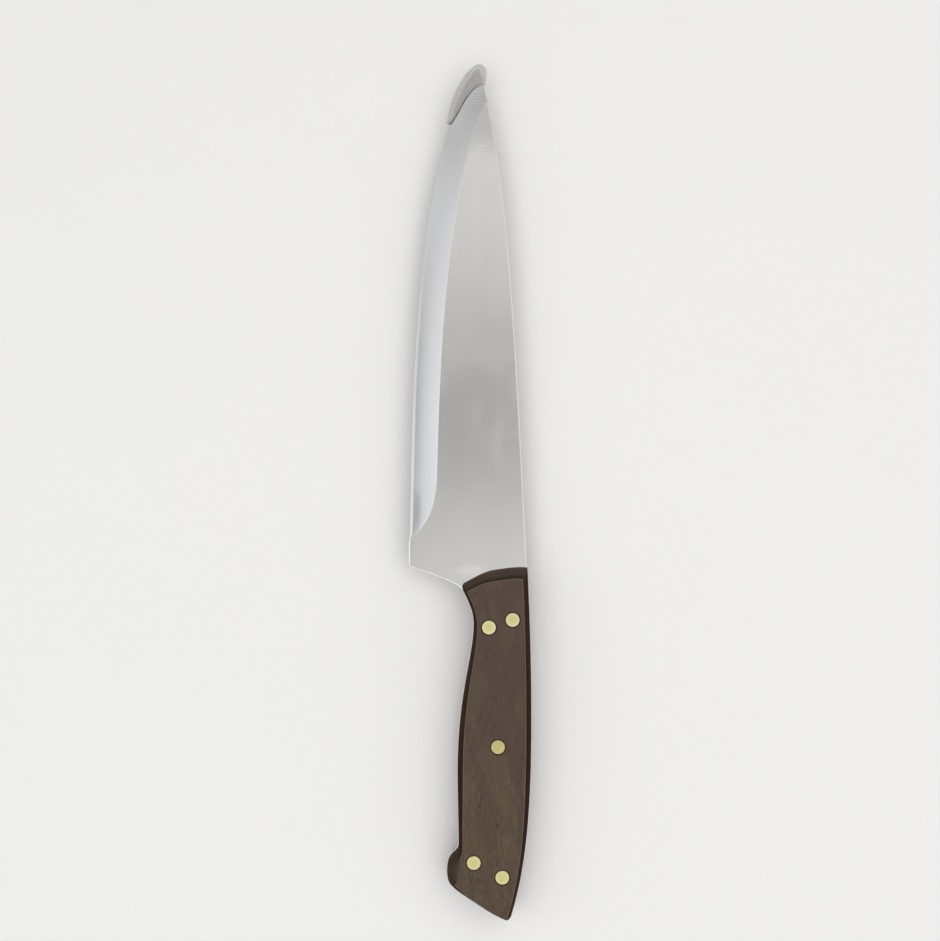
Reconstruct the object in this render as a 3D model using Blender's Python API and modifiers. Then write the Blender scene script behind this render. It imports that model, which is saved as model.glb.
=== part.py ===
"""A barbecue knife: one steel blank for blade and tang, two wood scales, five two-piece
rivets and a plastic guard over the tip. Metres and degrees, +Z up.

The knife lies on its lower scale, whose flat face is at z = 0. The tip points to +Y and the
cutting edge faces -X. The origin is on that flat face, behind the front rivets.
"""

import math
from collections import namedtuple

import bmesh
import bpy
from mathutils import Vector
from mathutils.geometry import interpolate_bezier

# Where the handle's front and the back of the blade lie from the origin
FRONT_Y = 0.0460
SPINE_X = 0.0120

# Blade
BLADE_LENGTH = 0.2031
BLADE_DEPTH = 0.04785
STEEL_THICKNESS = 0.0022
CORNER_EASE = 0.0003
TIP_DROP = 0.0194
TIP_EDGE_HEADING = 211
TIP_SPINE_HEADING = 104.7
BELLY_LENGTH = 0.0615
BELLY_RISE = 0.0080
BELLY_HEADING = 261.9
HEEL_FLAT = 0.0101
HEEL_TO_FRONT = 0.0045
HEEL_ROUND_HEIGHT = 0.0028
HEEL_ROUND_WIDTH = 0.0017
CHOIL_HEADING = -17.0

# Hollow grind, its plunge and the sharpened edge
BEVEL_WIDTH = 0.0105
WHEEL_RADIUS = 0.120
GROUND_THICKNESS = 0.0003
APEX_THICKNESS = 0.0001
SHARPENING_ANGLE = 18.0
SHARPENING_RECESS = 0.0004
PLUNGE_LENGTH = 0.0270
PLUNGE_BEHIND_EDGE = 0.0018
PLUNGE_POWER = 2.4

# Handle
HANDLE_LENGTH = 0.1392
HANDLE_THICKNESS = 0.0180
TANG_PROUD = 0.0003
WAIST_DEPTH = 0.02155
WAIST_FROM_FRONT = 0.0205
PALM_DEPTH = 0.0280
PALM_TAPER = 0.0004
PALM_FROM_BUTT = 0.0592
BACK_BULGE = 0.0017
BACK_FROM_FRONT = 0.0600
HOOK_DEPTH = 0.0322
HOOK_LENGTH = 0.0305
HOOK_TIP_FROM_BUTT = 0.0198
HOOK_CORNER_FROM_BUTT = 0.0130
HOOK_CORNER_INSET = 0.0024
BUTT_NARROWING = 0.0063
BUTT_CORNER = 0.0018
FRONT_CORNER_DEPTH = 0.02585
FRONT_CORNER_DROP = 0.0071
FRONT_CORNER_ROUND = 0.0027
FRONT_ARCH_DEPTH = 0.0130
FRONT_ARCH_RISE = 0.0007
SPINE_FRONT_RISE = 0.0016
SPINE_HEADING = 92.7
SIDE_DRAFT = 0.0022
WAIST_DRAFT = 0.0014
HOOK_DRAFT = 0.0032
BUTT_DRAFT = 0.0020
FRONT_RAMP = 0.0034

# Rivets: places from the spine and, in front, from the handle's front or, behind, from its butt
RIVET_HEAD_DIAMETER = 0.0057
RIVET_HEAD_THICKNESS = 0.0020
RIVET_SHANK_DIAMETER = 0.0042
RIVET_BORE_DIAMETER = 0.0030
RIVET_HEAD_WEB = 0.0006
RIVET_CHAMFER = 0.00015
FRONT_RIVETS = ((0.0155, 0.0212), (0.0061, 0.0182))
MIDDLE_RIVET = (0.0119, 0.0686)
REAR_RIVETS = ((0.0215, 0.0247), (0.0102, 0.0189))

# Tip guard
GUARD_EDGE_REACH = 0.0239
GUARD_SPINE_REACH = 0.00825
GUARD_TIP_RIM = 0.0016
GUARD_EDGE_LIP = 0.0014
GUARD_SPINE_LIP = 0.0008
GUARD_BULGE = 0.0010
MOUTH_EDGE_HEADING = -30
MOUTH_EDGE_HOLD = 0.30
MOUTH_SPINE_HEADING = -10
MOUTH_SPINE_HOLD = 0.32
GUARD_WALL = 0.0008
GUARD_ROUND = 0.0007

# Clearance between two pieces that touch
FIT = 0.0003

# Facets
ROUND_STEPS = 24
GRIND_STEPS = 7
GRIND_STATIONS = 17
PLUNGE_STATIONS = 5
TIP_STEPS = 6
GUARD_EDGE_STEPS = 24
GUARD_SPINE_STEPS = 72
MOUTH_STEPS = 14
WALL_HEIGHTS = (0.0, 0.12, 0.32, 0.56, 0.80, 1.0)

MIDDLE_Z = HANDLE_THICKNESS / 2
BUTT_Y = FRONT_Y - HANDLE_LENGTH
HEEL_X = SPINE_X - BLADE_DEPTH
TIP = Vector((SPINE_X - TIP_DROP, FRONT_Y + BLADE_LENGTH))
HEEL_BOTTOM_Y = FRONT_Y + HEEL_TO_FRONT
EDGE_END_Y = HEEL_BOTTOM_Y + HEEL_FLAT
SCALE_THICKNESS = (HANDLE_THICKNESS - STEEL_THICKNESS) / 2 - FIT

# A point of an outline that runs anticlockwise. heading is the outline's direction there, in
# degrees from +X, and turn is added to it on the way out of a corner. before and after say how
# far the curve holds that direction, as shares of the chord. steps is the count of facets up to
# the next knot. On the handle, inset is the way from the foot of the wall to the flat face, and
# power is the wall's shape: over 1 is round at the top, under 1 is hollow.
Knot = namedtuple("Knot", "x y heading before after turn steps inset power")
Knot.__new__.__defaults__ = (1 / 3, 1 / 3, 0, 8, (0, 0), 1.35)


def direction(degrees):
    angle = math.radians(degrees)
    return Vector((math.cos(angle), math.sin(angle)))


def outward(degrees):
    """The outward normal of an anticlockwise outline that runs this way."""
    return direction(degrees - 90)


def stretch(a, b, steps=None):
    """The points from knot a up to knot b, without b."""
    steps = steps or a.steps
    start, end = Vector((a.x, a.y)), Vector((b.x, b.y))
    chord = (end - start).length
    leave = start + direction(a.heading + a.turn) * chord * a.after
    arrive = end - direction(b.heading) * chord * b.before
    return interpolate_bezier(start, leave, arrive, end, steps + 1)[:-1]


def outline_of(knots):
    points = []
    for a, b in zip(knots, knots[1:] + knots[:1]):
        points += stretch(a, b)
    return points


# Materials and objects


def material(name, colour, roughness, metallic=0.0, transmission=0.0):
    made = bpy.data.materials.new(name)
    made.use_nodes = True
    shader = made.node_tree.nodes["Principled BSDF"]
    shader.inputs["Base Color"].default_value = (*colour, 1)
    shader.inputs["Roughness"].default_value = roughness
    shader.inputs["Metallic"].default_value = metallic
    shader.inputs["Transmission Weight"].default_value = transmission
    return made


def new_collection(name, parent):
    made = bpy.data.collections.new(name)
    parent.children.link(made)
    return made


def new_object(name, mesh, collection, surface=None):
    made = bpy.data.objects.new(name, mesh)
    collection.objects.link(made)
    if surface:
        mesh.materials.append(surface)
    else:
        made.hide_render = True
        made.display_type = "WIRE"
    return made


def mesh_from(build, name):
    mesh = bpy.data.meshes.new(name)
    build.to_mesh(mesh)
    build.free()
    return mesh


def plate_mesh(name, outline, thickness):
    """The outline as a flat solid round z = 0: a filled 2D curve, extruded and then welded."""
    curve = bpy.data.curves.new(name, "CURVE")
    curve.dimensions = "2D"
    curve.fill_mode = "BOTH"
    curve.extrude = thickness / 2
    spline = curve.splines.new("POLY")
    spline.points.add(len(outline) - 1)
    for point, place in zip(spline.points, outline):
        point.co = (place.x, place.y, 0, 1)
    spline.use_cyclic_u = True
    holder = bpy.data.objects.new(name, curve)
    bpy.context.scene.collection.objects.link(holder)
    graph = bpy.context.evaluated_depsgraph_get()
    mesh = bpy.data.meshes.new_from_object(holder.evaluated_get(graph))
    mesh.transform(holder.matrix_world)
    bpy.data.objects.remove(holder)
    bpy.data.curves.remove(curve)
    build = bmesh.new()
    build.from_mesh(mesh)
    bmesh.ops.remove_doubles(build, verts=build.verts, dist=1e-6)
    for side in (1, -1):
        cap = [face for face in build.faces if face.normal.z * side > 0.9]
        bmesh.ops.dissolve_faces(build, faces=cap)
    bmesh.ops.recalc_face_normals(build, faces=build.faces)
    build.to_mesh(mesh)
    build.free()
    return mesh


def ease_edges(made, width, segments):
    """Rounds the long edges all round a plate."""
    mesh = made.data
    weights = mesh.attributes.new("bevel_weight_edge", "FLOAT", "EDGE")
    heights = [vertex.co.z for vertex in mesh.vertices]
    for edge, weight in zip(mesh.edges, weights.data):
        first, second = (heights[index] for index in edge.vertices)
        weight.value = float(abs(first - second) < 1e-6)
    bevel = made.modifiers.new("eased_edges", "BEVEL")
    bevel.limit_method = "WEIGHT"
    bevel.width = width
    bevel.segments = segments


def cut(made, name, cutter, solver="EXACT"):
    boolean = made.modifiers.new(name, "BOOLEAN")
    boolean.operation = "DIFFERENCE"
    boolean.solver = solver
    if isinstance(cutter, bpy.types.Collection):
        boolean.operand_type = "COLLECTION"
        boolean.collection = cutter
    else:
        boolean.object = cutter


def loft_mesh(name, rings):
    """A closed solid through rings with the same count of points, with a flat cap at each end."""
    build = bmesh.new()
    rows = [[build.verts.new(point) for point in ring] for ring in rings]
    for row, above in zip(rows, rows[1:]):
        for i in range(len(row)):
            build.faces.new((row[i - 1], row[i], above[i], above[i - 1]))
    build.faces.new(rows[0])
    build.faces.new(rows[-1])
    bmesh.ops.recalc_face_normals(build, faces=build.faces)
    return mesh_from(build, name)


def shade_round(made):
    """Makes the turned shape a mesh of its own, smooth but for its crisp edges."""
    graph = bpy.context.evaluated_depsgraph_get()
    made.data = bpy.data.meshes.new_from_object(made.evaluated_get(graph))
    made.modifiers.clear()
    made.data.shade_smooth()
    made.data.set_sharp_from_angle(angle=math.radians(40))


def turned(name, profile, place, collection, surface=None):
    """A profile of (radius, z) from the top of the axis to its foot, turned about place."""
    build = bmesh.new()
    points = [build.verts.new((radius, 0, z)) for radius, z in profile]
    for pair in zip(points, points[1:]):
        build.edges.new(pair)
    made = new_object(name, mesh_from(build, name), collection, surface)
    made.location = (place.x, place.y, 0)
    screw = made.modifiers.new("turned", "SCREW")
    screw.steps = ROUND_STEPS
    screw.render_steps = ROUND_STEPS
    screw.use_merge_vertices = True
    screw.merge_threshold = 1e-6
    return made


# Outlines


def edge_knots():
    """The ground edge, from the tip down to its end above the heel."""
    tip = Knot(TIP.x, TIP.y, TIP_SPINE_HEADING, turn=TIP_EDGE_HEADING - TIP_SPINE_HEADING,
               before=0.21, after=0.145, steps=14)
    belly = Knot(HEEL_X + BELLY_RISE, TIP.y - BELLY_LENGTH, BELLY_HEADING,
                 before=0.365, after=0.35, steps=14)
    end = Knot(HEEL_X + SHARPENING_RECESS, EDGE_END_Y, 268, steps=2)
    return [tip, belly, end]


def heel_knots():
    """The unground heel, from the sharpening step round its corner to the choil."""
    top = Knot(HEEL_X, EDGE_END_Y - 2 * SHARPENING_RECESS, 270, steps=1)
    bottom = Knot(HEEL_X, HEEL_BOTTOM_Y, 270, after=0.5, steps=4)
    choil = Knot(HEEL_X + HEEL_ROUND_WIDTH, HEEL_BOTTOM_Y - HEEL_ROUND_HEIGHT, CHOIL_HEADING,
                 before=0.5, after=0.38, steps=10)
    return [top, bottom, choil]


def handle_knots(grow=0.0):
    """The handle's sides and butt, from its front corner on the edge side, down, round the hook
    and the butt, and up the back to the spine. grow moves them outwards."""
    hook_x = SPINE_X - HOOK_DEPTH
    palm_x = SPINE_X - PALM_DEPTH
    butt_x = SPINE_X - BUTT_NARROWING
    knots = [
        Knot(SPINE_X - FRONT_CORNER_DEPTH, FRONT_Y - FRONT_CORNER_DROP, 296,
             before=0.12, steps=6, inset=(1.35 * WAIST_DRAFT, -0.15 * FRONT_RAMP)),
        Knot(SPINE_X - WAIST_DEPTH, FRONT_Y - WAIST_FROM_FRONT, 270,
             before=0.36, after=0.225, steps=12, inset=(WAIST_DRAFT, 0)),
        Knot(palm_x, BUTT_Y + PALM_FROM_BUTT, 270,
             before=0.53, steps=6, inset=(SIDE_DRAFT, 0)),
        Knot(palm_x + PALM_TAPER, BUTT_Y + HOOK_LENGTH, 270,
             after=0.35, steps=8, inset=(0.75 * SIDE_DRAFT, 0)),
        Knot(hook_x, BUTT_Y + HOOK_TIP_FROM_BUTT, 270,
             before=0.70, after=0.55, steps=5, inset=(HOOK_DRAFT, 0), power=2.4),
        Knot(hook_x + HOOK_CORNER_INSET, BUTT_Y + HOOK_CORNER_FROM_BUTT, -44,
             before=0.30, after=0.18, steps=8, inset=(0, 1.6 * BUTT_DRAFT), power=1.6),
        Knot(butt_x - 0.8 * BUTT_CORNER, BUTT_Y + 0.2 * BUTT_CORNER, -22,
             after=0.5, steps=3, inset=(0, BUTT_DRAFT)),
        Knot(butt_x, BUTT_Y + BUTT_CORNER, 73,
             before=0.5, after=0.23, steps=12, inset=(-0.45 * SIDE_DRAFT, 0.6 * BUTT_DRAFT)),
        Knot(SPINE_X + BACK_BULGE, FRONT_Y - BACK_FROM_FRONT, 90,
             before=0.51, steps=6, inset=(-SIDE_DRAFT, 0)),
        Knot(SPINE_X - TANG_PROUD, FRONT_Y + SPINE_FRONT_RISE, SPINE_HEADING,
             after=0.59, steps=14, inset=(-0.8 * SIDE_DRAFT, -FRONT_RAMP), power=0.7),
    ]
    moved = []
    for knot in knots:
        place = Vector((knot.x, knot.y)) + outward(knot.heading) * grow
        moved.append(knot._replace(x=place.x, y=place.y))
    return moved


def scale_knots():
    """The foot of a scale's walls: the handle's sides and the arched front."""
    sides = handle_knots()
    sides[-1] = sides[-1]._replace(turn=81, after=1 / 3, steps=6)
    front = Knot(SPINE_X - FRONT_ARCH_DEPTH, FRONT_Y + FRONT_ARCH_RISE, 188,
                 steps=6, inset=(0, -FRONT_RAMP), power=0.55)
    corner = Knot(sides[0].x + 0.25 * FRONT_CORNER_ROUND, sides[0].y + FRONT_CORNER_ROUND, 207,
                  after=0.5, steps=3, inset=(1.4 * WAIST_DRAFT, -0.5 * FRONT_RAMP), power=0.7)
    return sides + [front, corner]


def blank_outline():
    return outline_of(edge_knots() + heel_knots() + handle_knots(TANG_PROUD))


def rivet_places():
    front = [Vector((SPINE_X - x, FRONT_Y - y)) for x, y in (*FRONT_RIVETS, MIDDLE_RIVET)]
    rear = [Vector((SPINE_X - x, BUTT_Y + y)) for x, y in REAR_RIVETS]
    return front + rear


# Blade


def grind_stations():
    """Points down the ground edge, run on past the tip and past the plunge, as
    (point, inward normal, distance in front of the plunge's end)."""
    tip, belly, end = edge_knots()
    points = stretch(tip, belly, GRIND_STATIONS) + stretch(belly, end, GRIND_STATIONS)
    points.append(Vector((end.x, end.y)))
    past_tip = points[0] - (points[1] - points[0]).normalized() * BEVEL_WIDTH
    down = (points[-1] - points[-2]).normalized()
    run_out = down * 2 * PLUNGE_BEHIND_EDGE / PLUNGE_STATIONS
    plunge = [points[-1] + run_out * i for i in range(1, PLUNGE_STATIONS + 1)]
    points = [past_tip, *refine(points, PLUNGE_LENGTH), *plunge]
    stations = []
    run = [0.0]
    for a, b in zip(points, points[1:]):
        run.append(run[-1] + (b - a).length)
    plunge_at = run[-1] - PLUNGE_BEHIND_EDGE
    for i, point in enumerate(points):
        ahead = points[min(i + 1, len(points) - 1)]
        behind = points[max(i - 1, 0)]
        along = (ahead - behind).normalized()
        stations.append((point, Vector((-along.y, along.x)), plunge_at - run[i]))
    return stations


def refine(points, length):
    """Splits the last runs of the points, over this length, in three."""
    refined = [points[0]]
    for a, b in zip(points, points[1:]):
        near_end = (points[-1] - b).length < length
        parts = 3 if near_end else 1
        refined += [a.lerp(b, i / parts) for i in range(1, parts + 1)]
    return refined


def grind_height(inward):
    """Half the ground blade's thickness this far in from the edge: a wheel's hollow arc, and the
    sharpened bevel where that is lower."""
    rise = (STEEL_THICKNESS - GROUND_THICKNESS) / 2
    chord = math.hypot(BEVEL_WIDTH, rise)
    reach = math.sqrt(WHEEL_RADIUS**2 - chord**2 / 4)
    centre_in = BEVEL_WIDTH / 2 - rise / chord * reach
    centre_z = (STEEL_THICKNESS + GROUND_THICKNESS) / 4 + BEVEL_WIDTH / chord * reach
    hollow = centre_z - math.sqrt(WHEEL_RADIUS**2 - (inward - centre_in) ** 2)
    sharpened = APEX_THICKNESS / 2 + inward * math.tan(math.radians(SHARPENING_ANGLE))
    return min(hollow, sharpened)


def grind_cutter(name, side, collection):
    """What the wheel takes off one side: its section, swept down the edge and lifted out of the
    steel along the plunge."""
    overrun = 2.5 * SHARPENING_RECESS
    slope = math.tan(math.radians(SHARPENING_ANGLE))
    shoulder = (GROUND_THICKNESS - APEX_THICKNESS) / 2 / slope * 1.6
    inward = [-overrun, shoulder]
    inward += [BEVEL_WIDTH * (i + 0.5) / GRIND_STEPS for i in range(1, GRIND_STEPS)]
    inward.append(BEVEL_WIDTH + 2 * overrun)
    above = STEEL_THICKNESS
    rings = []
    for point, normal, distance in grind_stations():
        depth = (STEEL_THICKNESS - GROUND_THICKNESS) / 2
        lift = depth * max(0.0, 1 - distance / PLUNGE_LENGTH) ** PLUNGE_POWER
        section = [(s, grind_height(s) + lift) for s in inward]
        section += [(inward[-1], section[-1][1] + above), (inward[0], section[-1][1] + above)]
        places = [(point + normal * s, MIDDLE_Z + side * z) for s, z in section]
        rings.append([(place.x, place.y, z) for place, z in places])
    return new_object(name, loft_mesh(name, rings), collection)


def make_blade(parts, cutters, holes, steel):
    mesh = plate_mesh("blade", blank_outline(), STEEL_THICKNESS)
    blade = new_object("blade", mesh, parts, steel)
    blade.location.z = MIDDLE_Z
    ease_edges(blade, CORNER_EASE, 2)
    for name, side in (("grind_upper", 1), ("grind_lower", -1)):
        cut(blade, name, grind_cutter(name, side, cutters), "MANIFOLD")
    cut(blade, "rivet_holes", holes)
    weld = blade.modifiers.new("weld", "WELD")
    weld.merge_threshold = 1e-6


# Handle


def scale_rings(side):
    """Rings from the foot of the wall at the tang to the flat outer face."""
    knots = scale_knots()
    foot = []
    for a, b in zip(knots, knots[1:] + knots[:1]):
        for i, point in enumerate(stretch(a, b)):
            share = i / a.steps
            ease = share * share * (3 - 2 * share)
            inset = Vector(a.inset).lerp(Vector(b.inset), ease)
            power = a.power + (b.power - a.power) * ease
            foot.append((point, inset, power))
    first_z = STEEL_THICKNESS / 2 + FIT
    rings = []
    for height in WALL_HEIGHTS:
        z = MIDDLE_Z + side * (first_z + SCALE_THICKNESS * height)
        ring = [point + inset * height**power for point, inset, power in foot]
        rings.append([(place.x, place.y, z) for place in ring])
    return rings


def make_scale(name, side, parts, holes, wood):
    scale = new_object(name, loft_mesh(name, scale_rings(side)), parts, wood)
    cut(scale, "rivet_holes", holes)
    return scale


def make_rivet_hole(number, place, holes):
    """The shank's hole through both scales and the tang, and a counterbore for each head."""
    shank = RIVET_SHANK_DIAMETER / 2 + FIT
    head = RIVET_HEAD_DIAMETER / 2 + FIT
    seat = RIVET_HEAD_THICKNESS + FIT
    past = RIVET_HEAD_THICKNESS
    top = HANDLE_THICKNESS
    profile = [(0, top + past), (head, top + past), (head, top - seat), (shank, top - seat),
               (shank, seat), (head, seat), (head, -past), (0, -past)]
    turned(f"rivet_hole_{number}", profile, place, holes)


def make_rivet(number, place, parts, brass):
    head = RIVET_HEAD_DIAMETER / 2
    shank = RIVET_SHANK_DIAMETER / 2
    bore = RIVET_BORE_DIAMETER / 2
    pin = bore - FIT
    top = HANDLE_THICKNESS
    thick = RIVET_HEAD_THICKNESS
    chamfer = RIVET_CHAMFER
    bore_top = top - RIVET_HEAD_WEB
    female = [(0, top), (head - chamfer, top), (head, top - chamfer), (head, top - thick),
              (shank, top - thick), (shank, thick + FIT), (bore, thick + FIT), (bore, bore_top),
              (0, bore_top)]
    male = [(0, bore_top - FIT), (pin - chamfer, bore_top - FIT), (pin, bore_top - FIT - chamfer),
            (pin, thick), (head, thick), (head, chamfer), (head - chamfer, 0), (0, 0)]
    shade_round(turned(f"rivet_female_{number}", female, place, parts, brass))
    shade_round(turned(f"rivet_male_{number}", male, place, parts, brass))


# Tip guard


def side_of_tip(points, lowest_y):
    """The points of one side, from the tip down to this height, each with its outward normal."""
    kept = []
    for a, b in zip(points, points[1:]):
        along = (b - a).normalized()
        normal = Vector((along.y, -along.x))
        kept.append((a, normal))
        if b.y < lowest_y:
            share = (a.y - lowest_y) / (a.y - b.y)
            kept.append((a.lerp(b, share), normal))
            break
    return kept


def tip_sides(edge_y, spine_y):
    """The edge side and the spine side of the tip, each from the tip down."""
    tip, belly, _ = edge_knots()
    edge = side_of_tip(stretch(tip, belly, GUARD_EDGE_STEPS), edge_y)
    back = handle_knots(TANG_PROUD)[-1]
    spine = stretch(back, tip, GUARD_SPINE_STEPS)[::-1]
    spine = side_of_tip([TIP, *spine], spine_y)
    return edge, [(point, -normal) for point, normal in spine]


def rim(side, at_tip, at_mouth, bulge=0.0):
    """The side's points moved outwards: by at_tip at the tip, by at_mouth at the last one, and
    by this much more halfway."""
    points = []
    for i, (point, normal) in enumerate(side):
        share = i / (len(side) - 1)
        out = at_tip + (at_mouth - at_tip) * share + bulge * 4 * share * (1 - share)
        points.append(point + normal * out)
    return points


def round_tip(edge, spine, radius):
    """The arc round the tip, from the spine's normal to the edge's, without its ends."""
    first = math.atan2(spine[0][1].y, spine[0][1].x)
    last = math.atan2(edge[0][1].y, edge[0][1].x)
    turns = [first + (last - first) * i / TIP_STEPS for i in range(1, TIP_STEPS)]
    return [TIP + radius * Vector((math.cos(turn), math.sin(turn))) for turn in turns]


def guard_outline():
    edge, spine = tip_sides(TIP.y - GUARD_EDGE_REACH, TIP.y - GUARD_SPINE_REACH)
    left = rim(edge, GUARD_TIP_RIM, GUARD_EDGE_LIP, GUARD_BULGE)
    right = rim(spine, GUARD_TIP_RIM, GUARD_SPINE_LIP, GUARD_BULGE)
    start = Knot(*left[-1], MOUTH_EDGE_HEADING, after=MOUTH_EDGE_HOLD)
    end = Knot(*right[-1], MOUTH_SPINE_HEADING, before=MOUTH_SPINE_HOLD)
    mouth = stretch(start, end, MOUTH_STEPS)
    return left[:-1] + mouth + right[::-1] + round_tip(edge, spine, GUARD_TIP_RIM)


def pocket_outline():
    """The blade's tip with its clearance, run on past the mouth."""
    past = TIP.y - 1.3 * GUARD_EDGE_REACH
    edge, spine = tip_sides(past, past)
    return rim(edge, FIT, FIT) + rim(spine, FIT, FIT)[::-1] + round_tip(edge, spine, FIT)


def make_guard(parts, cutters, plastic):
    inner = STEEL_THICKNESS + 2 * FIT
    origin = Vector((TIP.x, TIP.y, MIDDLE_Z))
    body = plate_mesh("tip_guard", [p - TIP for p in guard_outline()], inner + 2 * GUARD_WALL)
    guard = new_object("tip_guard", body, parts, plastic)
    guard.location = origin
    ease_edges(guard, GUARD_ROUND, 3)
    hollow = plate_mesh("guard_pocket", [p - TIP for p in pocket_outline()], inner)
    pocket = new_object("guard_pocket", hollow, cutters)
    pocket.location = origin
    cut(guard, "pocket", pocket)


def main():
    for old in list(bpy.data.objects):
        bpy.data.objects.remove(old)
    scene = bpy.context.scene.collection
    parts = new_collection("barbecue_knife", scene)
    cutters = new_collection("cutters", scene)
    holes = new_collection("rivet_holes", cutters)

    steel = material("satin_steel", (0.56, 0.55, 0.52), 0.32, metallic=1.0)
    wood = material("dark_wood", (0.107, 0.078, 0.060), 0.55)
    brass = material("brass", (0.70, 0.60, 0.28), 0.35, metallic=1.0)
    plastic = material("clear_plastic", (0.60, 0.57, 0.54), 0.40, transmission=0.6)

    for number, place in enumerate(rivet_places(), 1):
        make_rivet_hole(number, place, holes)
        make_rivet(number, place, parts, brass)
    make_blade(parts, cutters, holes, steel)
    make_scale("scale_upper", 1, parts, holes, wood)
    make_scale("scale_lower", -1, parts, holes, wood)
    make_guard(parts, cutters, plastic)


main()
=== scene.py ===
import math

import bmesh
import bpy
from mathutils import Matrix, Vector
from mathutils.geometry import interpolate_bezier, tessellate_polygon


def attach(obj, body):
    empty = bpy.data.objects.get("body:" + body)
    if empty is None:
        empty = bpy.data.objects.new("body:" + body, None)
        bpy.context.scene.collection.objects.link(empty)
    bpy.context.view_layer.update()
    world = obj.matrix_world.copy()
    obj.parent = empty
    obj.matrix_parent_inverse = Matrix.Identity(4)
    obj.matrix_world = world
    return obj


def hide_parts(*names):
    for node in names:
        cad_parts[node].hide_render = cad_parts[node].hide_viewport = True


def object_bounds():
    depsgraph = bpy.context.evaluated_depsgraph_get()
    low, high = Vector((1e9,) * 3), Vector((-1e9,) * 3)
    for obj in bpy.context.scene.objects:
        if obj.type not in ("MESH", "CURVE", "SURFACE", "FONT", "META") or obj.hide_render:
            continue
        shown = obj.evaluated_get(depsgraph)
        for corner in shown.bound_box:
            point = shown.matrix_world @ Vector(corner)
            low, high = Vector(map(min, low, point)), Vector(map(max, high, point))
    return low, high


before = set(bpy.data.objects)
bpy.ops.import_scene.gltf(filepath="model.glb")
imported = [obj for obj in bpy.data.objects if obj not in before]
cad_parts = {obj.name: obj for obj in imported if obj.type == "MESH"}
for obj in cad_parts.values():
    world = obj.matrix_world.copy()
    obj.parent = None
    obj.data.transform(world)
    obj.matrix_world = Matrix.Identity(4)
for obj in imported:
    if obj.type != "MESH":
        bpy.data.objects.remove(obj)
cadLow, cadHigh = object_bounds()
print("frame loaded")

mm = 0.001
weldDistance = 1e-7    # points nearer than this become one
tiny = 1e-12           # keeps a division from failing
shareSlack = 0.001     # a share this near to 0 or 1 counts as there

# Plan of the knife, seen from above in millimetres: x, y, heading, and how far the curve holds
# that heading before and after the knot, as a share of the chord.
# The knots run anticlockwise: down the cutting edge, round the heel and the handle, up the back.
plan = {
    "tip": (-7.4, 249.1, 211, 0, 0.145),
    "belly": (-27.85, 187.6, 261.9, 0.365, 0.35),
    "plungeEnd": (-35.5, 61.5, 268, 0.333, 0.333),
    "heelTop": (-35.85, 60.8, 270, 0.333, 0.333),
    "heelFoot": (-35.85, 50.5, 270, 0.333, 0.5),
    "choil": (-34.15, 47.7, -17, 0.5, 0.38),
    "frontCorner": (-13.85, 38.9, 296, 0.12, 0.333),
    "waist": (-9.55, 25.5, 270, 0.36, 0.225),
    "palm": (-16.0, -34.0, 270, 0.53, 0.333),
    "palmFoot": (-15.6, -62.7, 270, 0.333, 0.35),
    "hook": (-20.2, -73.4, 270, 0.70, 0.55),
    "hookCorner": (-17.8, -80.2, -44, 0.30, 0.18),
    "buttFoot": (4.26, -92.75, -22, 0.333, 0.5),
    "buttCorner": (5.7, -91.4, 73, 0.5, 0.23),
    "back": (13.7, -14.0, 90, 0.51, 0.333),
    "spineFront": (11.7, 47.6, 92.7, 0.333, 0.59),
    "tipFromSpine": (-7.4, 249.1, 104.7, 0.21, 0),
    "woodFront": (12.1, 48.0, 92.7, 0.333, 0.59),
    "archStart": (12.1, 48.0, 173.7, 0.333, 0.333),
    "frontArch": (-1.0, 47.1, 188, 0.333, 0.333),
    "archEnd": (-13.2, 41.9, 207, 0.333, 0.5),
}
tangNames = ("frontCorner", "waist", "palm", "palmFoot", "hook", "hookCorner", "buttFoot",
             "buttCorner", "back", "spineFront")
middleZ = (cadLow.z + cadHigh.z) / 2


def heading(degrees):
    angle = math.radians(degrees)
    return Vector((math.cos(angle), math.sin(angle)))


def knot(name, grow=0.0):
    x, y, degrees, before, after = plan[name]
    place = Vector((x, y)) * mm + heading(degrees - 90) * grow
    return place, degrees, before, after


def bend(a, b, count):
    # Points from knot a up to knot b, without b
    chord = (b[0] - a[0]).length
    leave = a[0] + heading(a[1]) * chord * a[3]
    arrive = b[0] - heading(b[1]) * chord * b[2]
    return interpolate_bezier(a[0], leave, arrive, b[0], count + 1)[:-1]


def route(knots, counts):
    points = []
    for a, b, count in zip(knots, knots[1:], counts):
        points += bend(a, b, count)
    return points + [knots[-1][0]]


def spread(points, count, bunch=1.0):
    # The same line with evenly spaced points, or closer together at its start where bunch is over 1
    run = [0.0]
    for a, b in zip(points, points[1:]):
        run.append(run[-1] + (b - a).length)
    spaced = []
    k = 0
    for i in range(count + 1):
        want = run[-1] * (i / count) ** bunch
        while k < len(points) - 2 and run[k + 1] < want:
            k += 1
        share = (want - run[k]) / max(run[k + 1] - run[k], tiny)
        spaced.append(points[k].lerp(points[k + 1], min(share, 1)))
    return spaced


def leftNormals(points):
    # What lies to the left of someone who walks along the points
    normals = []
    for i in range(len(points)):
        along = points[min(i + 1, len(points) - 1)] - points[max(i - 1, 0)]
        normals.append(Vector((-along.y, along.x)).normalized())
    return normals


# Small helpers for node trees


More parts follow.
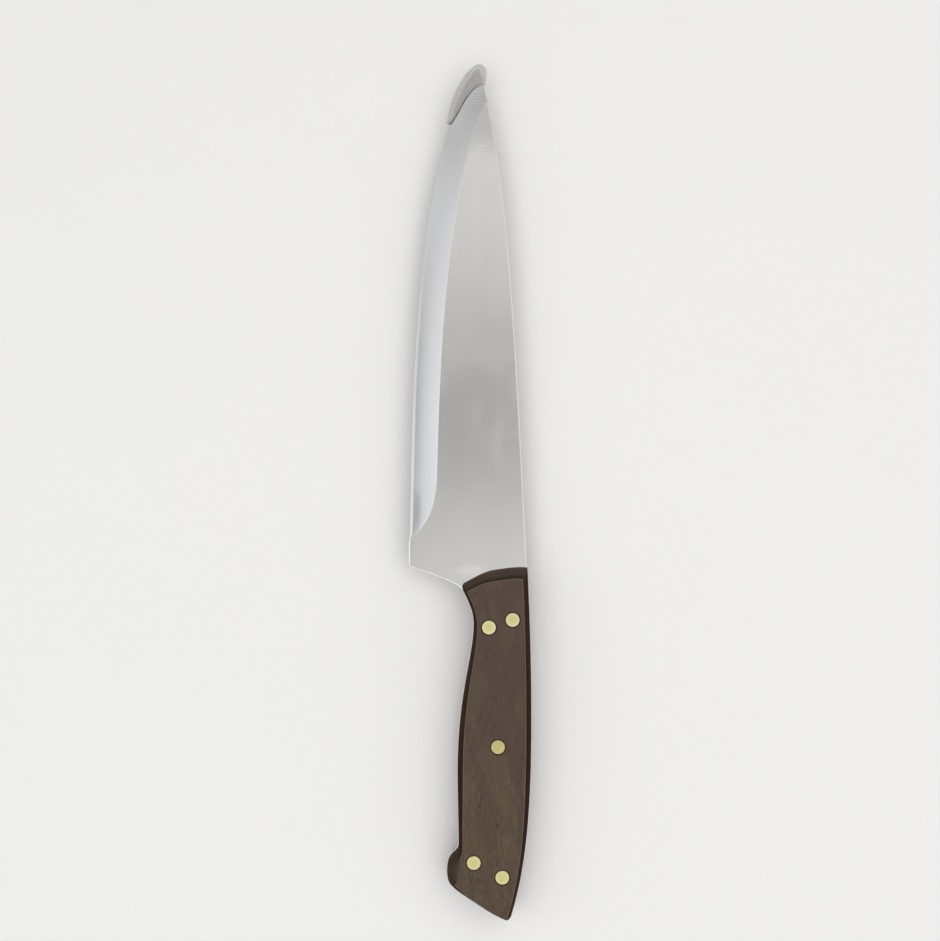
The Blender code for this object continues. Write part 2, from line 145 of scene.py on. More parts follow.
class Field:
    # A number that a node tree works out, written as plain arithmetic
    def __init__(self, tree, socket):
        self.tree = tree
        self.socket = socket

    def calc(self, operation, *terms, swap=False):
        node = self.tree.nodes.new("ShaderNodeMath")
        node.operation = operation
        order = [terms[0], self] if swap else [self, *terms]
        for slot, term in zip(node.inputs, order):
            if isinstance(term, Field):
                self.tree.links.new(term.socket, slot)
            else:
                slot.default_value = term
        return Field(self.tree, node.outputs[0])

    def __add__(self, other):
        return self.calc("ADD", other)

    def __radd__(self, other):
        return self.calc("ADD", other)

    def __sub__(self, other):
        return self.calc("SUBTRACT", other)

    def __rsub__(self, other):
        return self.calc("SUBTRACT", other, swap=True)

    def __mul__(self, other):
        return self.calc("MULTIPLY", other)

    def __truediv__(self, other):
        return self.calc("DIVIDE", other)

    def __pow__(self, other):
        return self.calc("POWER", other)

    def low(self, other):
        return self.calc("MINIMUM", other)

    def high(self, other):
        return self.calc("MAXIMUM", other)

    def root(self):
        return self.calc("SQRT")

    def under(self, other):
        return self.calc("LESS_THAN", other)

    def over(self, other):
        return self.calc("GREATER_THAN", other)

    def clamped(self):
        return self.low(1.0).high(0.0)

    def isFull(self):
        # 1 where a share has reached 1, otherwise 0
        return self.over(1 - shareSlack)

    def isNone(self):
        # 1 where a share is still 0, otherwise 0
        return self.under(shareSlack)


def blend(first, second, share):
    return first * (1 - share) + second * share


def newShape(name, sockets):
    # A Geometry Nodes tree with named inputs; gives the tree, the geometry and the inputs
    tree = bpy.data.node_groups.new(name, "GeometryNodeTree")
    tree.interface.new_socket("Geometry", in_out="INPUT", socket_type="NodeSocketGeometry")
    tree.interface.new_socket("Geometry", in_out="OUTPUT", socket_type="NodeSocketGeometry")
    for label, kind in sockets.items():
        tree.interface.new_socket(label, in_out="INPUT", socket_type="NodeSocket" + kind)
    entry = tree.nodes.new("NodeGroupInput")
    inputs = {label: Field(tree, entry.outputs[label]) for label in sockets}
    return tree, entry.outputs["Geometry"], inputs


def closeShape(tree, geometry, material):
    realize = tree.nodes.new("GeometryNodeRealizeInstances")
    paint = tree.nodes.new("GeometryNodeSetMaterial")
    leave = tree.nodes.new("NodeGroupOutput")
    paint.inputs["Material"].default_value = material
    tree.links.new(geometry, realize.inputs[0])
    tree.links.new(realize.outputs[0], paint.inputs["Geometry"])
    tree.links.new(paint.outputs[0], leave.inputs[0])


def attribute(tree, name):
    node = tree.nodes.new("GeometryNodeInputNamedAttribute")
    node.data_type = "FLOAT"
    node.inputs["Name"].default_value = name
    return Field(tree, node.outputs["Attribute"])


def vectorOf(tree, x, y, z):
    node = tree.nodes.new("ShaderNodeCombineXYZ")
    for slot, term in zip(node.inputs, (x, y, z)):
        tree.links.new(term.socket, slot)
    return node.outputs[0]


def shaped(piece, tree, values):
    # Runs the tree on the piece and keeps the plain mesh
    modifier = piece.modifiers.new("shape", "NODES")
    modifier.node_group = tree
    for item in tree.interface.items_tree:
        if item.name in values:
            modifier[item.identifier] = values[item.name]
    graph = bpy.context.evaluated_depsgraph_get()
    piece.data = bpy.data.meshes.new_from_object(piece.evaluated_get(graph))
    piece.modifiers.clear()


def newPiece(name, mesh, *materials):
    piece = bpy.data.objects.new(name, mesh)
    bpy.context.scene.collection.objects.link(piece)
    for material in materials:
        mesh.materials.append(material)
    return piece


def fitted(piece, body, nodes):
    # Puts a finished piece on its body, in place of its CAD nodes
    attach(piece, body)
    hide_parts(*nodes)


def giveValues(mesh, name, values):
    mesh.attributes.new(name, "FLOAT", "POINT").data.foreach_set("value", values)


def cleaned(piece):
    build = bmesh.new()
    build.from_mesh(piece.data)
    bmesh.ops.remove_doubles(build, verts=build.verts, dist=weldDistance)
    bmesh.ops.dissolve_degenerate(build, edges=build.edges, dist=weldDistance)
    if build.calc_volume(signed=True) < 0:
        bmesh.ops.reverse_faces(build, faces=build.faces)
    build.to_mesh(piece.data)
    build.free()


# Materials


def newMaterial(name):
    material = bpy.data.materials.new(name)
    material.use_nodes = True
    tree = material.node_tree
    coords = tree.nodes.new("ShaderNodeTexCoord").outputs["Object"]
    return material, tree, tree.nodes["Principled BSDF"], coords


def noise(tree, coords, stretch, detail=2.0, rough=0.5, distortion=0.0, shift=(0, 0, 0)):
    # Noise with its own scale along each axis, in features per metre
    mapping = tree.nodes.new("ShaderNodeMapping")
    mapping.inputs["Scale"].default_value = stretch
    mapping.inputs["Location"].default_value = shift
    tree.links.new(coords, mapping.inputs["Vector"])
    node = tree.nodes.new("ShaderNodeTexNoise")
    node.inputs["Scale"].default_value = 1.0
    node.inputs["Detail"].default_value = detail
    node.inputs["Roughness"].default_value = rough
    node.inputs["Distortion"].default_value = distortion
    tree.links.new(mapping.outputs[0], node.inputs["Vector"])
    return Field(tree, node.outputs["Fac"])


def ranged(field, low, high, fromLow=0.0, fromHigh=1.0):
    node = field.tree.nodes.new("ShaderNodeMapRange")
    node.interpolation_type = "SMOOTHSTEP"
    field.tree.links.new(field.socket, node.inputs["Value"])
    node.inputs["From Min"].default_value = fromLow
    node.inputs["From Max"].default_value = fromHigh
    node.inputs["To Min"].default_value = low
    node.inputs["To Max"].default_value = high
    return Field(field.tree, node.outputs["Result"])


noiseSpan = (0.3, 0.7)    # what a noise mostly stays between


def swing(field, amount):
    # A noise spread evenly to both sides of 0
    return ranged(field, -amount, amount, *noiseSpan)


mixInputs = (6, 7)    # where a Mix node keeps its two colours
mixOutput = 2


def tint(tree, share, first, second):
    # A colour between two, each a colour or another tint
    node = tree.nodes.new("ShaderNodeMix")
    node.data_type = "RGBA"
    tree.links.new(share.socket, node.inputs["Factor"])
    for place, colour in zip(mixInputs, (first, second)):
        if isinstance(colour, tuple):
            node.inputs[place].default_value = (*colour, 1)
        else:
            tree.links.new(colour, node.inputs[place])
    return node.outputs[mixOutput]


def bumped(tree, shader, height, distance):
    node = tree.nodes.new("ShaderNodeBump")
    node.inputs["Distance"].default_value = distance
    tree.links.new(height.socket, node.inputs["Height"])
    tree.links.new(node.outputs[0], shader.inputs["Normal"])


def axis(tree, coords, name):
    node = tree.nodes.new("ShaderNodeSeparateXYZ")
    tree.links.new(coords, node.inputs[0])
    return Field(tree, node.outputs[name])


def own(tree, name):
    node = tree.nodes.new("ShaderNodeAttribute")
    node.attribute_name = name
    return Field(tree, node.outputs["Fac"])


steel = {
    "pale": (0.690, 0.683, 0.664),
    "deep": (0.615, 0.611, 0.597),
    "hollow": (0.640, 0.644, 0.652),
    "scratch": (0.47, 0.47, 0.455),
    "glint": (0.80, 0.80, 0.785),
    "shadePatch": (0.500, 0.517, 0.510),
    "crisp": (0.77, 0.745, 0.725),
    # Painted shade along the sharpened edge
    "sharpened": (0.43, 0.385, 0.37),
    "roughness": (0.231, 0.239),
    "anisotropic": 0.5,
    "lineDepth": 0.0002 * mm,
    # Noise: features per metre along x, y and z, then detail, roughness and distortion
    "fine": ((150, 5200, 900), 3),
    "coarse": ((70, 1100, 300), 4, 0.6),
    "cloud": ((34, 20, 30), 3),
    "band": ((420, 9, 60), 2),
    "wander": ((60, 260, 90), 1),
    "streaks": ((110, 2100, 90), 1),
    "smudges": ((60, 48, 40), 4, 0.5, 0.6),
    "fineShare": 0.9,             # of the brushed lines, and the rest are coarse
    # How far each swings the face between pale and deep
    "lineSwing": 0.06,
    "cloudSwing": 0.16,
    "bandSwing": 0.06,
    # How strongly each shows, and the levels of its noise between which it sets in
    "smudgeShows": (0.03, 0.45, 0.7),
    "glintShows": (0.32, 0.50, 0.62),
    "hollowStrength": 0.85,
    "hollowSmooth": 0.03,
    "rippleLength": 1.15 * mm,
    "rippleWander": 9,
    "rippleStrength": 0.46,
    "rippleDepth": 0.5,           # of the fine lines' depth
    # Where coarser lines cross the blade: the middle, and the reach either way
    "rippled": (0.2365, 0.0075),
    "glinting": (0.2155, 0.0035),
    "glintAcross": (-0.0088, 0.0055),
    # The painted pale glow in front of the wood, a highlight standing in for light reflected there:
    # its middle, its reach, and how much it is flattened
    "paleGlow": (-0.0105, 0.0467),
    "paleGlowReach": (0.0015, 0.0085),
    "paleGlowSquash": 2.2,
    "paleGlowStrength": 0.8,
    # Painted shade that darkens the tip towards the scratch colour: from where to where along the
    # blade, and how much
    "shadedTip": (0.209, 0.226),
    "tipShadeStrength": 0.85,
}


def within(field, middle, reach):
    # 1 near the middle, fading to 0 at the reach
    return ranged((field - middle).calc("ABSOLUTE"), 1, 0, reach / 2, reach)


def satinSteel():
    material, tree, shader, coords = newMaterial("satinSteel")
    fine, coarse, cloud, band, wander, streaks, smudges = (
        noise(tree, coords, *steel[name]) for name in
        ("fine", "coarse", "cloud", "band", "wander", "streaks", "smudges"))
    x, y = axis(tree, coords, "X"), axis(tree, coords, "Y")

    # The brushed face, with a painted pale glow in front of the wood and a tip darkened by painted
    # shade
    lines = blend(coarse, fine, steel["fineShare"])
    share = swing(lines, steel["lineSwing"]) + swing(cloud, steel["cloudSwing"])
    share = share + swing(band, steel["bandSwing"]) + 0.5
    face = tint(tree, share.clamped(), steel["deep"], steel["pale"])
    glowX, glowY = steel["paleGlow"]
    paleGlow = ((x - glowX) ** 2 + ((y - glowY) * steel["paleGlowSquash"]) ** 2).root()
    paleGlow = ranged(paleGlow, steel["paleGlowStrength"], 0, *steel["paleGlowReach"])
    face = tint(tree, paleGlow, face, steel["crisp"])
    # Painted shade: the tip darkened towards the scratch colour
    dull = ranged(y, 0, steel["tipShadeStrength"], *steel["shadedTip"])
    face = tint(tree, dull, face, steel["scratch"])
    hollow = own(tree, "hollow")
    face = tint(tree, hollow * steel["hollowStrength"], face, steel["hollow"])

    # Coarser lines across it
    phase = y * (2 * math.pi / steel["rippleLength"]) + wander * steel["rippleWander"]
    ripple = phase.calc("SINE") * 0.5 + 0.5
    scratch = ripple * steel["rippleStrength"] * within(y, *steel["rippled"])
    # Painted highlights: bright glint lines near the tip where the streak noise peaks
    glint = ranged(streaks, 0, *steel["glintShows"])
    glint = glint * within(y, *steel["glinting"]) * within(x, *steel["glintAcross"])
    lined = tint(tree, scratch, face, steel["scratch"])
    lined = tint(tree, glint, lined, steel["glint"])

    # Painted light and shade over the ground steel: the dark patch, the bright lines and the dark
    # sharpened edge
    lightAndShade = tint(tree, own(tree, "shadePatch"), lined, steel["shadePatch"])
    lightAndShade = tint(tree, own(tree, "highlights").clamped(), lightAndShade, steel["crisp"])
    lightAndShade = tint(tree, own(tree, "sharpened").clamped(), lightAndShade, steel["sharpened"])
    tree.links.new(lightAndShade, shader.inputs["Base Color"])
    rough = ranged(lines, *steel["roughness"], *noiseSpan)
    rough = rough + ranged(smudges, 0, *steel["smudgeShows"]) - hollow * steel["hollowSmooth"]
    tree.links.new(rough.socket, shader.inputs["Roughness"])
    shader.inputs["Metallic"].default_value = 1.0
    shader.inputs["Anisotropic"].default_value = steel["anisotropic"]
    tangent = tree.nodes.new("ShaderNodeTangent")
    tangent.direction_type = "UV_MAP"
    tangent.uv_map = "brushing"
    tree.links.new(tangent.outputs[0], shader.inputs["Tangent"])
    bumped(tree, shader, lines - scratch * steel["rippleDepth"], steel["lineDepth"])
    return material


# Blade and tang: one blank, ground hollow from both sides

blade = {
    "thickness": 2.2 * mm,
    "cornerRound": 0.35 * mm,
    "tangProud": 0.3 * mm,
    "bevelWidth": 10.5 * mm,
    "wheelRadius": 120 * mm,
    "groundThickness": 0.3 * mm,
    "apexThickness": 0.04 * mm,
    "sharpenedWidth": 0.7 * mm,
    "forwardShare": 0.6,          # of that width, from rearReach in front of the plunge
    "rearReach": 60 * mm,
    "narrowShare": 0.3,           # the most of a narrow row that one part takes
    "spineHeightShare": 0.6,      # the most of the height that the spine's corner takes
    "plungeLength": 27 * mm,
    "plungeBehindEdge": 1.8 * mm,
    "plungePower": 2.4,
    "heelBlend": 1.5 * mm,
    "heelRound": 0.6 * mm,
    "heelEase": 2.2 * mm,
    "heelEaseFade": 14 * mm,
    "heelEaseDepth": 0.25,        # of the corner's round
    # Where the painted light and shade change, in front of the plunge's end or in from the edge
    "edgeGlow": 1.7 * mm,
    "turnLength": 16 * mm,
    "turnWidth": 1.6 * mm,
    "shadePatchAlong": (11 * mm, 9.5 * mm),     # middle and reach
    "shadePatchAcross": (3.0 * mm, 1.9 * mm),
    "tipLight": (110 * mm, 40 * mm),         # start and length
    "calmTip": (165 * mm, 24 * mm),          # middle and reach
    "tipNarrow": 1.02,                       # of the bevel's width, where no flat is left
    # How strongly the painted dark lines, the painted bright lines and the painted dark patch show
    "edgeShade": 0.6,
    "edgeShadeRear": 0.3,         # and this much more at the plunge
    "stripShade": 0.5,
    "tipUnshade": 0.9,            # of these, lost toward the tip
    "stripLight": 0.6,
    "edgeLight": 0.45,
    "shoulderLight": 0.6,
    "tipEdgeLight": 0.7,
    "tipShoulderLight": 0.8,
    "calmLight": 0.5,
    "calmShade": 0.8,
    "heelSteps": (6, 16, 12, 34),
    "tangSteps": (20, 34, 14, 18, 14, 22, 8),
    "backSteps": (60, 60),
    "bellyRows": 150,
    "edgeRows": 250,
    "edgeBunch": 0.62,
    "curveSteps": 400,
    "spineSteps": 500,
    "bevelColumns": 26,
    "flatShares": (0.012, 0.16, 0.36, 0.56, 0.76, 0.93, 0.985, 1),
    "roundColumns": 3,
}


def spineHit(start, along, spine):
    # Where a line from the cutting edge meets the spine, and the spine's own outward normal there
    slack = 1e-9
    for a, b in zip(spine, spine[1:]):
        run = b - a
        across = along.x * run.y - along.y * run.x
        if abs(across) < tiny:
            continue
        gap = a - start
        reach = (gap.x * run.y - gap.y * run.x) / across
        share = (gap.x * along.y - gap.y * along.x) / across
        if -slack <= share <= 1 + slack and reach >= -slack:
            return a + run * share, Vector((-run.y, run.x)).normalized()
    return spine[0].copy(), leftNormals(spine[:2])[0]


def groundRows(spine):
    # Rows square to the ground edge: edge point, inward normal, spine point, its outward normal
    # and the distance in front of the plunge's end
    tip, belly, end = knot("tip"), knot("belly"), knot("plungeEnd")
    first = bend(tip, belly, blade["bellyRows"])
    second = bend(belly, end, blade["curveSteps"]) + [end[0]]
    second = spread(second, blade["edgeRows"], blade["edgeBunch"])
    edge = first + second
    run = 0.0
    runs = [0.0]
    for a, b in zip(edge, edge[1:]):
        run += (b - a).length
        runs.append(run)
    rows = []
    for point, normal, at in zip(edge, leftNormals(edge), runs):
        hit, out = spineHit(point, normal, spine)
        rows.append((point, normal, hit, out, run - at + blade["plungeBehindEdge"]))
    return rows


def heelRows(lastHit):
    # Rows behind the plunge: round the heel, along the choil, and round the tang to the butt
    grow = blade["tangProud"]
    front = knot("frontCorner", grow)
    heel = [knot(name) for name in ("plungeEnd", "heelTop", "heelFoot", "choil")]
    left = route([*heel, front], blade["heelSteps"])
    tang = [knot(name, grow) for name in tangNames]
    turn = tangNames.index("buttCorner")
    down = route(tang[:turn + 1], blade["tangSteps"])
    up = route(tang[turn:], blade["backSteps"])[::-1]
    right = spread([lastHit, tang[-1][0]], len(left) - 1)
    leftPoints = left + down[1:]
    rightPoints = right + spread(up, len(down) - 1)[1:]
    start = blade["plungeBehindEdge"]
    rows = []
    run = 0.0
    normals = zip(leftNormals(leftPoints), leftNormals(rightPoints))
    for i, (inward, out) in enumerate(normals):
        if i:
            run += (leftPoints[i] - leftPoints[i - 1]).length
        rows.append((leftPoints[i], inward, rightPoints[i], out, start - run))
    return rows[1:]


def ringColumns():
    # Each column as (edge round, bevel share, flat share, spine round)
    rounds = blade["roundColumns"]
    columns = [(i / rounds, 0, 0, 0) for i in range(rounds + 1)]
    columns += [(1, (i + 1) / blade["bevelColumns"], 0, 0) for i in range(blade["bevelColumns"])]
    columns += [(1, 1, share, 0) for share in blade["flatShares"]]
    columns += [(1, 1, 1, (i + 1) / rounds) for i in range(rounds)]
    return columns


def blankMesh(rows):
    # The blank as a ring of points for each row; every point knows its place in the plan
    columns = ringColumns()
    ring = [(*column, 1) for column in columns] + [(*column, -1) for column in columns[::-1]]
    names = ("edgeX", "edgeY", "inX", "inY", "spineX", "spineY", "outX", "outY", "ahead",
             "edgeRound", "bevelShare", "flatShare", "spineRound", "side")
    values = []
    points = []
    for edge, inward, spine, out, ahead in rows:
        for column in ring:
            values.append((*edge, *inward, *spine, *out, ahead, *column))
            *shares, side = column
            place = edge.lerp(spine, sum(shares) / len(shares))
            points.append((place.x, place.y, side * blade["thickness"] / 2))
    size = len(ring)
    half = len(columns)
    faces = []
    for row in range(len(rows) - 1):
        for c in range(size):
            after = (c + 1) % size
            a, b = row * size + c, row * size + after
            d, e = a + size, b + size
            if c < half - 1:
                faces += [(a, d, b), (b, d, e)]
            else:
                faces += [(a, d, e), (a, e, b)]
    mesh = bpy.data.meshes.new("blade")
    mesh.from_pydata(points, [], faces)
    for i, name in enumerate(names):
        giveValues(mesh, name, [value[i] for value in values])
    return mesh


def grindSizes():
    # What the grinding takes in, by the names of its inputs
    return {
        "Thickness": blade["thickness"], "Corner Round": blade["cornerRound"],
        "Bevel Width": blade["bevelWidth"], "Wheel Radius": blade["wheelRadius"],
        "Ground Thickness": blade["groundThickness"], "Apex Thickness": blade["apexThickness"],
        "Sharpened Width": blade["sharpenedWidth"], "Plunge Length": blade["plungeLength"],
        "Plunge Power": blade["plungePower"], "Heel Blend": blade["heelBlend"],
        "Heel Round": blade["heelRound"], "Heel Ease": blade["heelEase"],
        "Ease Fade": blade["heelEaseFade"], "Ease Depth": blade["heelEaseDepth"],
        "Rear Reach": blade["rearReach"], "Narrow Share": blade["narrowShare"],
        "Spine Share": blade["spineHeightShare"], "Edge Glow": blade["edgeGlow"],
        "Turn Length": blade["turnLength"], "Turn Width": blade["turnWidth"],
        "Middle": middleZ, "Bevel Columns": float(blade["bevelColumns"]),
    }


def past(field, place, length):
    # How far past a place, in lengths
    return (field - place) / length


def rowWidth(tree):
    # From the edge point of a row to its spine point
    x = attribute(tree, "spineX") - attribute(tree, "edgeX")
    y = attribute(tree, "spineY") - attribute(tree, "edgeY")
    return (x * x + y * y).root()


def hollowGrind(material):
    # The grinding itself: every point's place from the wheel's arc and the plunge's lift
    tree, geometry, size = newShape("hollowGrind", {label: "Float" for label in grindSizes()})
    half = size["Thickness"] / 2
    ground = size["Ground Thickness"] / 2
    width = size["Bevel Width"]
    radius = size["Wheel Radius"]
    ahead = attribute(tree, "ahead")

    # The wheel's centre, from two points of its arc
    depth = half - ground
    chord = (width * width + depth * depth).root()
    reach = (radius * radius - chord * chord / 4).root()
    centreIn = width / 2 - depth / chord * reach
    centreZ = (half + ground) / 2 + width / chord * reach

    # How far the plunge has lifted the wheel, and where the arc then leaves the flat
    lift = depth * (1 - ahead / size["Plunge Length"]).clamped() ** size["Plunge Power"]
    shoulder = centreIn + (radius * radius - (centreZ - half + lift) ** 2).root()

    # Distance from the edge: the sharpened strip first, then the bevel
    span = rowWidth(tree)
    bevelEnd = width.low(span)
    rearward = (1 - ahead / size["Rear Reach"]).clamped()
    narrowed = rearward * (1 - blade["forwardShare"]) + blade["forwardShare"]
    strip = (size["Sharpened Width"] * narrowed).low(span * size["Narrow Share"])
    edgeRound = attribute(tree, "edgeRound")
    bevelShare = attribute(tree, "bevelShare")
    inward = strip * edgeRound + (bevelEnd - strip) * bevelShare
    flat = attribute(tree, "flatShare")
    onCorner = 1 - edgeRound.isFull()
    onBevel = edgeRound.isFull() * flat.isNone()
    whole = (shoulder / width).isFull()
    near = (inward - shoulder).calc("ABSOLUTE").under(width / size["Bevel Columns"] / 2)
    onShoulder = near * onBevel * (1 - whole)
    inward = blend(inward, shoulder, onShoulder)

    # Height above the middle: the hollow, cut down by the sharpened strip, never over the flat
    hollow = centreZ - (radius * radius - (inward - centreIn) ** 2).root()
    sharpened = size["Apex Thickness"] / 2 + inward * ((ground - size["Apex Thickness"] / 2) / strip)
    height = (hollow.low(sharpened) + lift).low(half)

    # Behind the plunge the edge has a rounded corner instead, and the columns run to the spine
    heel = ((0 - ahead) / size["Heel Blend"]).clamped()
    corner = size["Corner Round"]
    quarter = edgeRound * (math.pi / 2)
    heelIn = size["Heel Round"] * (1 - quarter.calc("COSINE")) * heel
    ease = (1 - width * bevelShare / size["Heel Ease"]).clamped() * onBevel.high(onCorner)
    ease = ease * ease * (1 + ahead / size["Ease Fade"]).clamped() * corner * size["Ease Depth"]
    height = blend(height, half - ease - corner * (1 - quarter.calc("SINE")), heel)
    bevelPart = (width / span).low(size["Narrow Share"])
    heelShare = bevelPart * bevelShare + (1 - bevelPart) * flat
    across = blend(flat, heelShare, heel)

    # The spine has a rounded corner all along
    spineRound = attribute(tree, "spineRound")
    turn = spineRound * (math.pi / 2)
    spineCorner = corner.low(height * size["Spine Share"]).low(span * size["Narrow Share"])
    side = attribute(tree, "side")
    place = []
    for letter in "XY":
        edge, spine = attribute(tree, "edge" + letter), attribute(tree, "spine" + letter)
        edge = edge + (spine - edge) / span * inward * (1 - heel)
        edge = edge + attribute(tree, "in" + letter) * heelIn
        out = attribute(tree, "out" + letter) * spineCorner
        place.append(blend(edge, spine - out, across) + out * turn.calc("SINE"))
    z = (height - spineCorner * (1 - turn.calc("COSINE"))) * side + size["Middle"]
    move = tree.nodes.new("GeometryNodeSetPosition")
    tree.links.new(geometry, move.inputs["Geometry"])
    tree.links.new(vectorOf(tree, *place, z), move.inputs["Position"])

    # Where the shading and the painted light and shade change: the crisp lines, and the parts in
    # front of the heel
    front = 1 - heel
    bevelLast = bevelShare.isFull() * onBevel
    crease = onShoulder.high(bevelLast * whole * front)
    stripEnd = edgeRound.isFull() * bevelShare.isNone()
    sharp = crease.high(stripEnd.high(edgeRound.isNone()) * front)
    hollowPart = inward.under(shoulder * (1 + shareSlack)) * onBevel * front
    share = (inward / shoulder).clamped()
    towardTip = past(ahead, *blade["tipLight"]).clamped()
    calm = (1 - past(ahead, *blade["calmTip"]).calc("ABSOLUTE")).clamped() * hollowPart

    # Painted shade: the dark lines along the sharpened edge, standing in for the edge's darker
    # reflection
    shade = onCorner * (rearward * blade["edgeShadeRear"] + blade["edgeShade"])
    shade = shade + stripEnd * (1 - rearward) * blade["stripShade"]
    shade = shade * front * (1 - towardTip * blade["tipUnshade"])

    # Painted highlights: bright lines along the edge, the shoulder, the plunge's turn and the
    # corners
    beside = (1 - inward / size["Edge Glow"]).clamped() * hollowPart * blade["edgeLight"]
    highlights = beside.high(stripEnd * rearward * blade["stripLight"])
    highlights = highlights.high(crease * blade["shoulderLight"])
    highlights = highlights.high(onCorner.high(stripEnd) * towardTip * blade["tipEdgeLight"])
    turned = (1 - ahead / size["Turn Length"]).clamped()
    turned = turned * (1 - (shoulder - inward) / size["Turn Width"]).clamped()
    highlights = highlights.high(turned * hollowPart)
    highlights = highlights.high(1 - spineRound.isNone()).high(onCorner * heel)
    narrow = span.under(width * blade["tipNarrow"])
    highlights = highlights.high(bevelLast * narrow * blade["tipShoulderLight"])
    highlights = highlights.high(calm * share * blade["calmLight"])

    # Painted shade: a dark patch in front of the plunge, standing in for a dark reflection, and a
    # darker edge side of the bevel near the tip
    along = past(ahead, *blade["shadePatchAlong"])
    over = past(inward, *blade["shadePatchAcross"])
    shadePatch = (1 - along * along).clamped() * (1 - over * over).clamped() * onBevel
    shadePatch = shadePatch.high(calm * (1 - share) * blade["calmShade"])
    geometry = move.outputs[0]
    for name, field in (("sharpLine", sharp), ("highlights", highlights), ("hollow", hollowPart),
                        ("sharpened", shade), ("shadePatch", shadePatch)):
        store = tree.nodes.new("GeometryNodeStoreNamedAttribute")
        store.data_type = "FLOAT"
        store.domain = "POINT"
        store.inputs["Name"].default_value = name
        tree.links.new(geometry, store.inputs["Geometry"])
        tree.links.new(field.socket, store.inputs["Value"])
        geometry = store.outputs[0]
    closeShape(tree, geometry, material)
    return tree


def brushingMap(mesh):
    # The steel is brushed across the knife, so u runs along it: light spreads that way
    layer = mesh.uv_layers.new(name="brushing")
    perMetre = 4
    for loop in mesh.loops:
        place = mesh.vertices[loop.vertex_index].co
        layer.data[loop.index].uv = (place.y * perMetre, place.x * perMetre)


def spineLine(count):
    # From the tip back to the wood
    return route([knot("spineFront", blade["tangProud"]), knot("tipFromSpine")], (count,))[::-1]


def makeBlade():
    rows = groundRows(spineLine(blade["spineSteps"]))
    rows += heelRows(rows[-1][2])
    piece = newPiece("blade", blankMesh(rows))
    shaped(piece, hollowGrind(satinSteel()), grindSizes())
    cleaned(piece)
    mesh = piece.data
    mesh.shade_smooth()
    lines = mesh.attributes["sharpLine"].data
    edges = mesh.attributes.new("sharp_edge", "BOOLEAN", "EDGE")
    for edge, mark in zip(mesh.edges, edges.data):
        mark.value = all(lines[i].value > 0.5 for i in edge.vertices)
    brushingMap(mesh)
    fitted(piece, "knife", ["blade"])


makeBlade()
print("blade ground")


# Handle scales

scale = {
    "foot": blade["thickness"] / 2 + 0.03 * mm,   # from the middle of the tang
    "top": 9.0 * mm,
    "edgeRound": 0.28 * mm,
    "wallSteps": 14,
    "roundSteps": 4,
    "wallBunch": 1.5,             # over 1 sets the wall's rings closer at its foot
    "sharpAngle": 40,
    "holeRadius": 2.93 * mm,
    "collarRadius": 3.55 * mm,
    "holeDepth": 2.2 * mm,
    "holeSegments": 48,
    # Between which slopes the wall's painted shade sets in, on a plain wall and on a round one, and
    # the shape past which a wall starts to be round
    "plainSlopes": (0.12, 0.62),
    "roundSlopes": (0.02, 0.34),
    "roundShape": 1.4,
    # How far the wall leans in on its way up, x and y in millimetres, and its shape: over 1 is
    # round at the top, under 1 is hollow
    "wall": {
        "frontCorner": (1.89, -0.51, 1.35), "waist": (1.4, 0, 1.35), "palm": (2.2, 0, 1.35),
        "palmFoot": (1.65, 0, 1.35), "hook": (4.8, 0, 2.4), "hookCorner": (1.2, 2.4, 1.6),
        "buttFoot": (-1.2, 1.6, 1.35), "buttCorner": (-1.7, 1.6, 1.35), "back": (-2.45, 0, 1.35),
        "woodFront": (-2.1, -4.1, 0.7), "archStart": (-2.1, -4.1, 0.7),
        "frontArch": (0, -4.0, 0.55), "archEnd": (1.96, -2.4, 0.7),
    },
    "steps": {
        "frontCorner": 20, "waist": 44, "palm": 20, "palmFoot": 24, "hook": 20, "hookCorner": 26,
        "buttFoot": 10, "buttCorner": 40, "back": 30, "woodFront": 1, "archStart": 22,
        "frontArch": 22, "archEnd": 10,
    },
}
rivetPlaces = [Vector(place) * mm for place in
               ((-3.5, 24.8), (5.9, 27.8), (0.1, -22.6), (-9.5, -68.5), (1.8, -74.3))]

